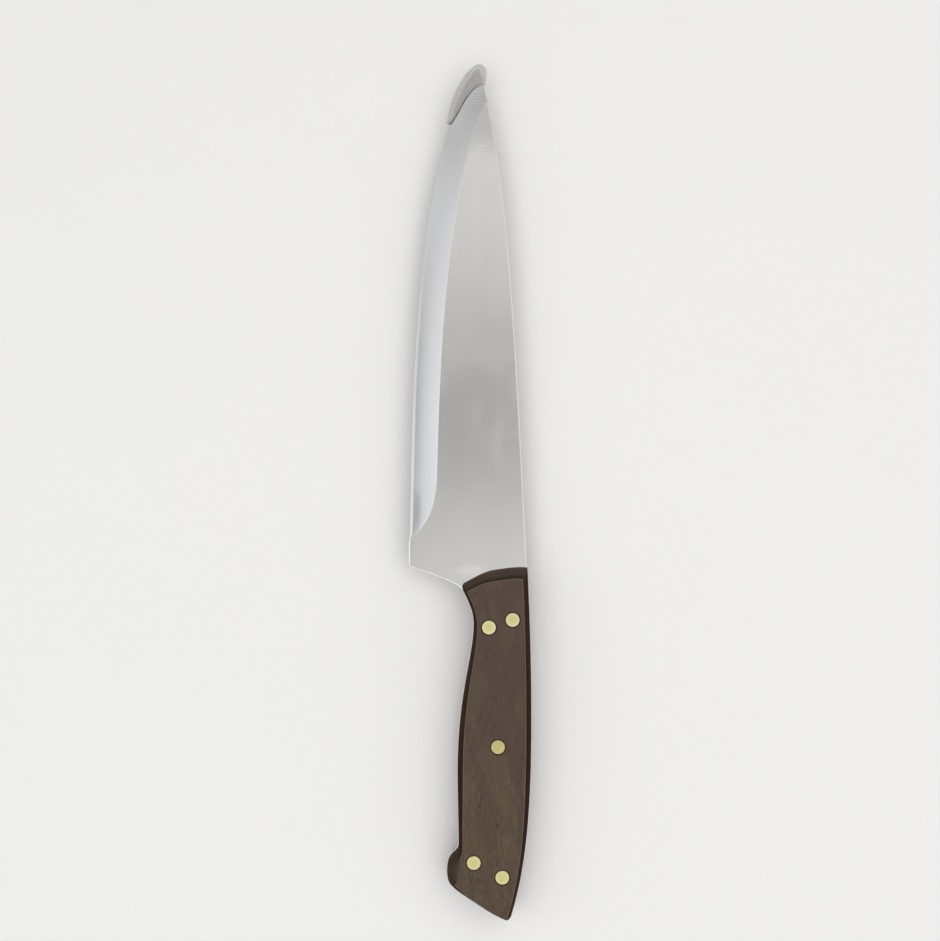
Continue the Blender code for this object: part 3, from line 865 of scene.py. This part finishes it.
wood = {
    "warm": (0.095, 0.0625, 0.052),
    "olive": (0.131, 0.099, 0.057),
    "fibre": (0.068, 0.046, 0.034),
    "fleck": (0.150, 0.118, 0.088),
    "pore": (0.034, 0.023, 0.017),
    # Painted highlight along the rounded top edge
    "rim": (0.170, 0.128, 0.100),
    # Painted shade on the walls and the round hook; on the front ramp, painted bounce light low down
    # giving way to painted shade at the top
    "wall": (0.027, 0.0095, 0.0012),
    "hook": (0.056, 0.034, 0.027),
    "ramp": (0.080, 0.060, 0.047),
    "rampTop": (0.044, 0.030, 0.020),
    "ring": (0.034, 0.029, 0.005),
    "ringStrength": 0.65,
    "rimHighlightStrength": 0.75,
    "rampHeights": (4.0 * mm, 7.6 * mm),     # over which the front ramp darkens
    "roughness": (0.49, 0.65),
    "poreRough": 0.2,
    "wallRough": 0.4,
    "shine": 0.1,
    "reliefDepth": 0.05 * mm,
    "reliefShares": (0.6, 0.25, 0.15),       # pores, fibres and streaks
    # Noise: features per metre along x, y and z, then detail, roughness, distortion and shift
    "waves": ((110, 42, 90), 3, 0.5, 0.8),
    "streaks": ((520, 60, 400), 4, 0.62, 0.9),
    "fibres": ((1900, 240, 1500), 3, 0.6),
    "flecks": ((900, 190, 700), 3, 0.5, 0, (3, 0, 0)),
    "pores": ((1500, 420, 1300), 1),
    "bunches": ((150, 60, 120), 2),
    # How strongly each shows, and the levels of its noise between which it sets in
    "streakShows": (0.34, 0.42, 0.66),
    "fibreShows": (0.6, 0.42, 0.64),
    "fleckShows": (1, 0.56, 0.70),
    "poreShows": (1, 0.62, 0.72),
    # The least and the most of each, and the levels of its noise that go with them
    "oliveWaves": (-0.25, 0.35, 0.35, 0.65),
    "fleckBunches": (0.2, 0.8, 0.4, 0.6),
    "poreBunches": (0.15, 1, 0.45, 0.62),
    # The butt's half is more olive and has more grain: how much, and from where to where
    "buttShare": 0.62,
    "buttFrom": (-0.02, 0.075),
    # What each has all over, and what the butt adds
    "oliveAmount": (0, 0.75),
    "grainAmount": (0.25, 0.75),
    "fleckAmount": (0.18, 0.85),
    "poreAmount": (0.35, 0.25),
}


def darkWood():
    material, tree, shader, coords = newMaterial("darkWood")
    waves, streaks, fibres, flecks, pores, bunches = (
        noise(tree, coords, *wood[name]) for name in
        ("waves", "streaks", "fibres", "flecks", "pores", "bunches"))
    lower = ranged(axis(tree, coords, "Y") * -1, 0, wood["buttShare"], *wood["buttFrom"])

    def amount(name):
        allOver, butt = wood[name]
        return lower * butt + allOver

    # The face: its ground colour, then the grain, the flecks and the pores
    olive = amount("oliveAmount") + ranged(waves, *wood["oliveWaves"])
    ground = tint(tree, olive.clamped(), wood["warm"], wood["olive"])
    grain = ranged(streaks, 0, *wood["streakShows"]) + ranged(fibres, 0, *wood["fibreShows"])
    grain = (grain * amount("grainAmount")).clamped()
    grained = tint(tree, grain, ground, wood["fibre"])
    flecks = ranged(flecks, 0, *wood["fleckShows"]) * ranged(bunches, *wood["fleckBunches"])
    flecked = tint(tree, flecks * amount("fleckAmount"), grained, wood["fleck"])
    pores = ranged(pores, 0, *wood["poreShows"]) * ranged(bunches, *wood["poreBunches"])
    pored = tint(tree, pores * amount("poreAmount"), flecked, wood["pore"])

    # Painted shade on the steep walls, lighter and warmer where they are round, painted bounce light
    # low on the front ramp, the dark rings round the rivets and a painted highlight on the rim
    up = (axis(tree, coords, "Z") - middleZ).calc("ABSOLUTE")
    ramp = tint(tree, ranged(up, 0, 1, *wood["rampHeights"]), wood["ramp"], wood["rampTop"])
    side = tint(tree, own(tree, "ramp"), wood["wall"], ramp)
    side = tint(tree, own(tree, "soft"), side, wood["hook"])
    walled = tint(tree, own(tree, "steep"), pored, side)
    ringed = tint(tree, own(tree, "ring") * wood["ringStrength"], walled, wood["ring"])
    colour = tint(tree, own(tree, "rim") * wood["rimHighlightStrength"], ringed, wood["rim"])
    tree.links.new(colour, shader.inputs["Base Color"])

    rough = ranged(streaks, *wood["roughness"]) + pores * wood["poreRough"]
    rough = rough + own(tree, "steep") * wood["wallRough"]
    tree.links.new(rough.socket, shader.inputs["Roughness"])
    shader.inputs["Specular IOR Level"].default_value = wood["shine"]
    poreDeep, fibreDeep, streakDeep = wood["reliefShares"]
    relief = 1 - pores * poreDeep - ranged(fibres, 0, fibreDeep) - ranged(streaks, 0, streakDeep)
    bumped(tree, shader, relief, wood["reliefDepth"])
    return material


def eased(value, low, high):
    share = min(max((value - low) / (high - low), 0.0), 1.0)
    return share * share * (3 - 2 * share)


def scaleFoot():
    # The foot of the wall as (point, lean, shape)
    names = list(scale["wall"])
    foot = []
    for name, after in zip(names, names[1:] + names[:1]):
        if name == "woodFront":
            continue
        end = "woodFront" if after == "archStart" else after
        count = scale["steps"][name]
        for i, point in enumerate(bend(knot(name), knot(end), count)):
            ease = eased(i / count, 0, 1)
            lean = Vector(scale["wall"][name][:2]).lerp(Vector(scale["wall"][end][:2]), ease) * mm
            shape = scale["wall"][name][2] * (1 - ease) + scale["wall"][end][2] * ease
            foot.append((point, lean, shape))
    return foot


def inwardOf(points):
    # The inward normal at each point of a closed anticlockwise outline
    normals = []
    for i, point in enumerate(points):
        along = points[(i + 1) % len(points)] - points[i - 1]
        normals.append(Vector((-along.y, along.x)).normalized())
    return normals


def scaleRings(foot):
    # Rings from the foot up the wall and over the rounded top edge, as (points, height)
    tall = scale["top"] - scale["foot"]
    rise = 1 - scale["edgeRound"] / tall
    rings = []
    for i in range(scale["wallSteps"] + 1):
        height = (i / scale["wallSteps"]) ** scale["wallBunch"] * rise
        ring = [point + lean * height**shape for point, lean, shape in foot]
        rings.append((ring, scale["foot"] + tall * height))
    for i in range(1, scale["roundSteps"] + 1):
        turn = math.pi / 2 * i / scale["roundSteps"]
        up = rise + (1 - rise) * math.sin(turn)
        ring = [point + lean * up**shape for point, lean, shape in foot]
        inset = scale["edgeRound"] * (1 - math.cos(turn))
        ring = [point + normal * inset for point, normal in zip(ring, inwardOf(ring))]
        rings.append((ring, scale["foot"] + tall * up))
    return rings


def circle(centre, radius, count):
    return [centre + heading(360 * i / count) * radius for i in range(count)]


def markWood(mesh, foot, ringCount, onRim, atHoles):
    # What the wood's painted light and shade need to know: the painted wall shade sets in at less of
    # a slope where the wall is round
    roundness = [min(max(shape - scale["roundShape"], 0.0), 1.0) for point, lean, shape in foot]
    softness = roundness * ringCount
    softness += [0.0] * (len(mesh.vertices) - len(softness))
    steepness = []
    for vertex, soft in zip(mesh.vertices, softness):
        low, high = (plain + (rounded - plain) * soft for plain, rounded in
                     zip(scale["plainSlopes"], scale["roundSlopes"]))
        steepness.append(eased(1 - abs(vertex.normal.z), low, high))
    giveValues(mesh, "steep", steepness)
    giveValues(mesh, "soft", softness)
    giveValues(mesh, "ramp", [max(0.0, vertex.normal.y) for vertex in mesh.vertices])
    giveValues(mesh, "rim", [(i in onRim) * (1 - soft) for i, soft in enumerate(softness)])
    giveValues(mesh, "ring", [float(i in atHoles) for i in range(len(mesh.vertices))])


def makeScale(name, side, material):
    foot = scaleFoot()
    build = bmesh.new()

    def raised(points, height):
        return [build.verts.new((point.x, point.y, middleZ + side * height)) for point in points]

    def band(low, high):
        for i in range(len(low)):
            build.faces.new((low[i - 1], low[i], high[i], high[i - 1]))

    rings = [raised(points, height) for points, height in scaleRings(foot)]
    for low, high in zip(rings, rings[1:]):
        band(low, high)
    build.faces.new(rings[0])
    mouths = []
    collars = []
    for place in rivetPlaces:
        hole = circle(place, scale["holeRadius"], scale["holeSegments"])
        around = circle(place, scale["collarRadius"], scale["holeSegments"])
        mouth = raised(hole, scale["top"])
        floor = raised(hole, scale["top"] - scale["holeDepth"])
        collar = raised(around, scale["top"])
        band(floor, mouth)
        band(mouth, collar)
        build.faces.new(floor)
        mouths.append(mouth)
        collars.append(collar)
    loops = [rings[-1], *collars]
    corners = [vertex for loop in loops for vertex in loop]
    for triangle in tessellate_polygon([[vertex.co for vertex in loop] for loop in loops]):
        build.faces.new([corners[i] for i in triangle])
    bmesh.ops.recalc_face_normals(build, faces=build.faces)
    for face in build.faces:
        face.smooth = True
    for edge in build.edges:
        if edge.calc_face_angle(0) > math.radians(scale["sharpAngle"]):
            edge.smooth = False
    for loop in (rings[-1], *mouths):
        for a, b in zip(loop, loop[1:] + loop[:1]):
            build.edges.get((a, b)).smooth = False
    build.verts.index_update()
    atHoles = {vertex.index for mouth in mouths for vertex in mouth}
    onRim = {vertex.index for ring in rings[-scale["roundSteps"]:-1] for vertex in ring}
    mesh = bpy.data.meshes.new(name)
    build.to_mesh(mesh)
    build.free()
    markWood(mesh, foot, len(rings), onRim, atHoles)
    fitted(newPiece(name, mesh, material), "knife", [name])


woodFinish = darkWood()
makeScale("scale_upper", 1, woodFinish)
makeScale("scale_lower", -1, woodFinish)
print("scales shaped")


# Rivets: one turned head, set in each hole from both sides

rivet = {
    "radius": 2.77 * mm,
    "thickness": 2.0 * mm,
    "crown": 0.03 * mm,
    "chamfer": 0.14 * mm,
    "chamferTurn": 0.3,                      # of the chamfer, where it turns down
    "faceRings": (0.25, 0.5, 0.72, 0.88),    # of the radius
    "sharpAngle": 30,
    "segments": 56,
    "seed": 3259,                 # leaves the middle rivet the dullest and the front ones clean
}
brass = {
    "rim": (0.72, 0.675, 0.41),
    "centre": (0.655, 0.605, 0.265),
    "dull": (0.46, 0.40, 0.15),
    "tarnishStrength": 0.8,
    "roughness": (0.27, 0.43),
    "markDepth": 0.004 * mm,
    "marks": ((3400, 260, 900), 3, 0.6),     # features per metre, detail and roughness
    "cloud": ((700, 600, 500), 3),
    "cloudStrength": 0.5,
    "rimFrom": (0.6, 1.15),                  # of the radius
    # How strongly each dulls the brass, and the levels between which it sets in
    "marksShow": (0.3, 0.55, 0.75),
    "edgeShows": (0.5, 0.94, 1.0),
}


def groundBrass():
    material, tree, shader, coords = newMaterial("groundBrass")
    marks = noise(tree, coords, *brass["marks"])
    cloud = noise(tree, coords, *brass["cloud"])
    radial = own(tree, "radial")
    outward = ranged(radial + cloud * brass["cloudStrength"], 0, 1, *brass["rimFrom"])
    face = tint(tree, outward, brass["centre"], brass["rim"])
    worn = ranged(marks, 0, *brass["marksShow"]) + ranged(radial, 0, *brass["edgeShows"])
    worn = worn + own(tree, "tarnish") * brass["tarnishStrength"]
    colour = tint(tree, worn.clamped(), face, brass["dull"])
    tree.links.new(colour, shader.inputs["Base Color"])
    rough = ranged(marks, *brass["roughness"])
    tree.links.new(rough.socket, shader.inputs["Roughness"])
    shader.inputs["Metallic"].default_value = 1.0
    bumped(tree, shader, marks, brass["markDepth"])
    return material


def rivetHead():
    # The head with its outer face at z = 0, turned from its profile of (radius, z)
    radius, chamfer, crown = rivet["radius"], rivet["chamfer"], rivet["crown"]
    turn = rivet["chamferTurn"] * chamfer
    profile = [(radius * share, -crown * share * share) for share in rivet["faceRings"]]
    profile += [(radius - chamfer, -crown), (radius - turn, -crown - turn),
                (radius, -crown - chamfer), (radius, -rivet["thickness"])]
    build = bmesh.new()
    centre = build.verts.new((0, 0, 0))
    rings = []
    for distance, z in profile:
        points = circle(Vector((0, 0)), distance, rivet["segments"])
        rings.append([build.verts.new((*point, z)) for point in points])
    for i in range(rivet["segments"]):
        build.faces.new((centre, rings[0][i - 1], rings[0][i]))
        for upper, lower in zip(rings, rings[1:]):
            build.faces.new((upper[i - 1], lower[i - 1], lower[i], upper[i]))
    build.faces.new(rings[-1][::-1])
    for face in build.faces:
        face.smooth = True
    for edge in build.edges:
        edge.smooth = edge.calc_face_angle(0) < math.radians(rivet["sharpAngle"])
    mesh = bpy.data.meshes.new("rivetHead")
    build.to_mesh(mesh)
    build.free()
    giveValues(mesh, "radial", [vertex.co.xy.length / radius for vertex in mesh.vertices])
    return mesh


def rivetSet(material):
    tree, geometry, size = newShape("rivetSet", {"Head": "Object"})
    source = tree.nodes.new("GeometryNodeObjectInfo")
    place = tree.nodes.new("GeometryNodeInstanceOnPoints")
    tree.links.new(size["Head"].socket, source.inputs["Object"])
    tree.links.new(geometry, place.inputs["Points"])
    tree.links.new(source.outputs["Geometry"], place.inputs["Instance"])
    turn = attribute(tree, "turnedOver") * math.pi
    tree.links.new(vectorOf(tree, turn, turn * 0, turn * 0), place.inputs["Rotation"])
    vary = tree.nodes.new("FunctionNodeRandomValue")
    vary.inputs["Seed"].default_value = rivet["seed"]
    keep = tree.nodes.new("GeometryNodeStoreNamedAttribute")
    keep.domain = "INSTANCE"
    keep.inputs["Name"].default_value = "tarnish"
    tree.links.new(place.outputs[0], keep.inputs["Geometry"])
    tree.links.new(vary.outputs["Value"], keep.inputs["Value"])
    closeShape(tree, keep.outputs[0], material)
    return tree


def makeRivets():
    points = [(place.x, place.y, z) for z in (cadHigh.z, cadLow.z) for place in rivetPlaces]
    mesh = bpy.data.meshes.new("rivetHeads")
    mesh.from_pydata(points, [], [])
    giveValues(mesh, "turnedOver", [float(point[2] < middleZ) for point in points])
    piece = newPiece("rivetHeads", mesh)
    head = newPiece("head", rivetHead())
    shaped(piece, rivetSet(groundBrass()), {"Head": head})
    bpy.data.objects.remove(head)
    nodes = [f"rivet_{half}_{i}" for half in ("female", "male")
             for i in range(1, len(rivetPlaces) + 1)]
    fitted(piece, "knife", nodes)


makeRivets()
print("rivets set")


# Tip guard: a soft sleeve with a pocket for the blade

guard = {
    "edgeReach": 22.75 * mm,
    "spineReach": 7.05 * mm,
    "tipRim": 1.6 * mm,
    "edgeLip": 1.4 * mm,
    "spineLip": 0.55 * mm,
    "bulge": 1.0 * mm,
    "spineBulge": 1.25 * mm,
    "mouthStart": (-12, 0.13),    # heading and hold, on the edge side
    "mouthEnd": (-10, 0.32),      # on the spine side
    "halfThickness": 2.05 * mm,
    "lipHalf": 1.45 * mm,
    "pocketHalf": 1.2 * mm,
    "clearance": 0.12 * mm,
    "tipRound": 0.16,             # share of the length over which it thins to the tip
    "pocketTipRound": 0.05,
    "pocketEdge": 0.6,            # of the pocket's thickness, left at the cutting edge
    "spineSwell": 0.55,           # under 1 sets the spine's bulge nearer to the tip
    "sideCurve": (2.6, 2.2),      # over 2 is fuller than an ellipse
    "lipPower": 8,                # how late it thins towards the lip
    "mouthPower": 3,              # how late its rows take on the mouth's curve
    "tipPower": 4,                # how soon they leave the tip's arc
    "lipWidth": 0.12 * mm,
    "rows": 30,
    "columns": 30,
    "mouthSteps": 60,
    "edgeSteps": 400,
    "spineSteps": 2000,
}
plastic = {
    "milk": (0.60, 0.58, 0.565),
    "cloudy": (0.52, 0.495, 0.485),
    # The lip's dark grey is painted shadow
    "lip": (0.40, 0.40, 0.405),
    "alpha": 0.44,
    "ior": 1.42,
    "roughness": (0.27, 0.40),
    "lipRoughness": 0.45,
    "lipShade": 0.8,
    "reliefDepth": 0.03 * mm,
    "dustRelief": 0.3,
    "cloud": ((160, 110, 160), 3),           # features per metre and detail
    "dust": ((1500, 1400, 1500), 2),
    "lipCloud": ((500, 500, 500), 3),
    "cloudFrom": (0.35, 0.65),
    "dustShows": (0.06, 0.5, 0.7),
}


def softPlastic():
    material, tree, shader, coords = newMaterial("softPlastic")
    cloud = noise(tree, coords, *plastic["cloud"])
    dust = noise(tree, coords, *plastic["dust"])
    cloudy = ranged(cloud, 0, 1, *plastic["cloudFrom"])
    colour = tint(tree, cloudy, plastic["milk"], plastic["cloudy"])
    tree.links.new(colour, shader.inputs["Base Color"])
    rough = ranged(cloud, *plastic["roughness"]) + ranged(dust, 0, *plastic["dustShows"])
    tree.links.new(rough.socket, shader.inputs["Roughness"])
    shader.inputs["IOR"].default_value = plastic["ior"]
    shader.inputs["Alpha"].default_value = plastic["alpha"]
    bumped(tree, shader, dust * plastic["dustRelief"] + cloud, plastic["reliefDepth"])
    return material


def lipShadow():
    # Painted shadow: a dark grey on the rim of the mouth, standing in for the thin shadow along it
    material, tree, shader, coords = newMaterial("lipShadow")
    cloud = noise(tree, coords, *plastic["lipCloud"])
    deep = tuple(channel * plastic["lipShade"] for channel in plastic["lip"])
    colour = tint(tree, ranged(cloud, 0, 1, *plastic["cloudFrom"]), plastic["lip"], deep)
    tree.links.new(colour, shader.inputs["Base Color"])
    shader.inputs["Roughness"].default_value = plastic["lipRoughness"]
    return material


def sideOfTip(points, reach):
    # The part of a line from the tip down to its reach, in even steps
    tip = points[0]
    kept = [point for point in points if tip.y - point.y < reach]
    past = points[len(kept)]
    share = (kept[-1].y - (tip.y - reach)) / (kept[-1].y - past.y)
    kept.append(kept[-1].lerp(past, share))
    return spread(kept, guard["rows"])


def guardSides():
    # The blade's two sides in the guard, each with its outward normals
    edge = bend(knot("tip"), knot("belly"), guard["edgeSteps"])
    edge = sideOfTip(edge, guard["edgeReach"])
    spine = sideOfTip(spineLine(guard["spineSteps"]), guard["spineReach"])
    return (edge, [-normal for normal in leftNormals(edge)]), (spine, leftNormals(spine))


def hump(share):
    # 0 at both ends and 1 halfway
    return 4 * share * (1 - share)


def sleeve(sides, rims, mouth, half, lip, tipRound, edgeSide):
    # Rows of points round the sleeve, from the tip to the mouth; edgeSide is the share of its
    # thickness that is left on the side of the cutting edge
    (edge, edgeOut), (spine, spineOut) = sides
    tip = edge[0]
    leftTip = tip + edgeOut[0] * rims["tip"]
    rightTip = spine[0] + spineOut[0] * rims["tip"]
    fullness, roundness = guard["sideCurve"]
    rows = []
    columns = guard["columns"]
    first = math.atan2(edgeOut[0].y, edgeOut[0].x)
    last = math.atan2(spineOut[0].y, spineOut[0].x)
    if first < last:
        first += 2 * math.pi
    for i in range(guard["rows"] + 1):
        share = i / guard["rows"]
        early = share ** guard["spineSwell"]
        leftRim = rims["tip"] + (rims["edge"] - rims["tip"]) * share
        leftRim += rims["bulge"] * hump(share)
        rightRim = rims["tip"] + (rims["spine"] - rims["tip"]) * share
        rightRim += rims["spineBulge"] * hump(early)
        left = edge[i] + edgeOut[i] * leftRim
        right = spine[i] + spineOut[i] * rightRim
        thin = math.sqrt(max(0.0, 1 - max(0.0, 1 - share / tipRound) ** 2))
        row = []
        for c in range(columns + 1):
            turn = math.pi * c / columns
            across = (1 - math.cos(turn)) / 2
            point = left.lerp(right, across)
            angle = first + (last - first) * across
            arc = tip + Vector((math.cos(angle), math.sin(angle))) * rims["tip"]
            flatTip = leftTip.lerp(rightTip, across)
            point = point + (arc - flatTip) * (1 - share) ** guard["tipPower"]
            k = across * (len(mouth) - 1)
            low = min(int(k), len(mouth) - 2)
            line = mouth[low].lerp(mouth[low + 1], k - low)
            flatMouth = mouth[0].lerp(mouth[-1], across)
            point = point + (line - flatMouth) * share ** guard["mouthPower"]
            tall = half + (lip - half) * share ** guard["lipPower"]
            tall = tall * (edgeSide + (1 - edgeSide) * across)
            height = tall * thin * (1 - abs(2 * across - 1) ** fullness) ** (1 / roundness)
            row.append((point, height))
        rows.append(row)
    # The last row but one keeps its distance from the mouth, for the lip
    backs = leftNormals([point for point, height in rows[-1]])
    rows[-2] = [(point + back * guard["lipWidth"], height)
                for (point, height), back in zip(rows[-1], backs)]
    return rows


def makeGuard():
    rims = {"tip": guard["tipRim"], "edge": guard["edgeLip"], "spine": guard["spineLip"],
            "bulge": guard["bulge"], "spineBulge": guard["spineBulge"]}
    sides = guardSides()
    (edge, edgeOut), (spine, spineOut) = sides
    start = edge[-1] + edgeOut[-1] * rims["edge"]
    end = spine[-1] + spineOut[-1] * rims["spine"]
    mouth = bend((start, guard["mouthStart"][0], 0, guard["mouthStart"][1]),
                 (end, guard["mouthEnd"][0], guard["mouthEnd"][1], 0), guard["mouthSteps"])
    mouth.append(end)
    outer = sleeve(sides, rims, mouth, guard["halfThickness"], guard["lipHalf"],
                   guard["tipRound"], 1)
    snug = guard["clearance"]
    snugRims = {"tip": snug, "edge": snug, "spine": snug, "bulge": 0, "spineBulge": 0}
    inner = sleeve(sides, snugRims, mouth, guard["pocketHalf"], guard["pocketHalf"],
                   guard["pocketTipRound"], guard["pocketEdge"])

    build = bmesh.new()

    def shell(rows, skip, lip):
        loops = []
        for row in rows[skip:]:
            upper = [(*point, middleZ + height) for point, height in row]
            lower = [(*point, middleZ - height) for point, height in row[1:-1][::-1]]
            loops.append([build.verts.new(place) for place in upper + lower])
        for above, below in zip(loops, loops[1:]):
            for i in range(len(above)):
                face = build.faces.new((above[i - 1], above[i], below[i], below[i - 1]))
                # The faces at the mouth take the painted lip shadow
                face.material_index = int(lip and below is loops[-1])
        build.faces.new(loops[0])
        return loops[-1]

    outerEnd = shell(outer, 1, True)
    innerEnd = shell(inner, 2, False)
    for i in range(len(outerEnd)):
        face = build.faces.new((outerEnd[i - 1], outerEnd[i], innerEnd[i], innerEnd[i - 1]))
        face.material_index = 1
    bmesh.ops.remove_doubles(build, verts=build.verts, dist=weldDistance)
    bmesh.ops.recalc_face_normals(build, faces=build.faces)
    for face in build.faces:
        face.smooth = True
    mesh = bpy.data.meshes.new("tipGuard")
    build.to_mesh(mesh)
    build.free()
    piece = newPiece("tipGuard", mesh, softPlastic(), lipShadow())
    fitted(piece, "tip_guard", ["tip_guard"])


makeGuard()
print("guard moulded")


# Floor, light and camera

studio = {
    "floor": (0.93, 0.925, 0.915),
    "floorShade": 0.985,
    "floorGrain": ((30, 30, 30), 4),
    "floorRoughness": 0.9,
    "floorShine": 0.1,
    "floorSize": 14,
    "floorGap": 0.1 * mm,
    "roomLevel": 0.62,
    "gapLevel": 0.24,             # of the room, straight over the camera between the lamps
    "gap": (0.90, 0.96),          # how steeply up the room darkens, 1 is straight up
    "lampHeight": 1.0,
    "lampLevel": 0.75,
    "cameraHeight": 0.520,
    "lookAt": (-0.011, 0.087),
    "lens": 49.37,
    "sensor": 36,
    # Lamps as the corners (x, y) of the rectangle that each fills, and its colour
    "lamps": {
        "left": ((-1.0, -0.9), (-0.205, 0.31), (1.17, 1.185, 1.20)),
        "leftFar": ((-1.0, 0.31), (-0.135, 0.515), (0.90, 0.915, 0.93)),
        "right": ((0.15, -0.9), (1.0, 1.1), (1.0, 0.99, 0.97)),
        "beyondTip": ((-0.15, 0.25), (0.15, 0.75), (1.0, 0.985, 0.96)),
        "behindButt": ((-0.15, -0.9), (0.15, 0.06), (1.0, 0.995, 0.985)),
    },
}


def makeFloor():
    bpy.ops.mesh.primitive_plane_add(size=studio["floorSize"])
    floor = bpy.context.object
    floor.name = "floor"
    for vertex in floor.data.vertices:
        vertex.co.z = cadLow.z - studio["floorGap"]
    material, tree, shader, coords = newMaterial("paleFloor")
    grain = noise(tree, coords, *studio["floorGrain"])
    deep = tuple(channel * studio["floorShade"] for channel in studio["floor"])
    tree.links.new(tint(tree, grain, studio["floor"], deep), shader.inputs["Base Color"])
    shader.inputs["Roughness"].default_value = studio["floorRoughness"]
    shader.inputs["Specular IOR Level"].default_value = studio["floorShine"]
    floor.data.materials.append(material)


def softbox(name, low, high, colour):
    # A lamp that faces down over the rectangle between two corners
    width, depth = high[0] - low[0], high[1] - low[1]
    lamp = bpy.data.lights.new(name, "AREA")
    lamp.shape = "RECTANGLE"
    lamp.size = width
    lamp.size_y = depth
    lamp.color = colour
    lamp.energy = studio["lampLevel"] * math.pi * width * depth
    holder = bpy.data.objects.new(name, lamp)
    holder.location = ((low[0] + high[0]) / 2, (low[1] + high[1]) / 2, studio["lampHeight"])
    bpy.context.scene.collection.objects.link(holder)


def makeStudio():
    world = bpy.data.worlds.new("studio")
    bpy.context.scene.world = world
    world.use_nodes = True
    tree = world.node_tree
    up = axis(tree, tree.nodes.new("ShaderNodeTexCoord").outputs["Generated"], "Z")
    level = ranged(up, studio["roomLevel"], studio["gapLevel"], *studio["gap"])
    tree.links.new(level.socket, tree.nodes["Background"].inputs["Strength"])
    tree.nodes["Background"].inputs["Color"].default_value = (1, 1, 1, 1)
    for name, (low, high, colour) in studio["lamps"].items():
        softbox(name, low, high, colour)
    camera = bpy.data.objects.new("camera", bpy.data.cameras.new("camera"))
    camera.data.lens = studio["lens"]
    camera.data.sensor_width = studio["sensor"]
    camera.location = (*studio["lookAt"], middleZ + studio["cameraHeight"])
    bpy.context.scene.collection.objects.link(camera)
    bpy.context.scene.camera = camera
    bpy.context.scene.view_settings.view_transform = "Standard"


makeFloor()
makeStudio()
print("studio set")
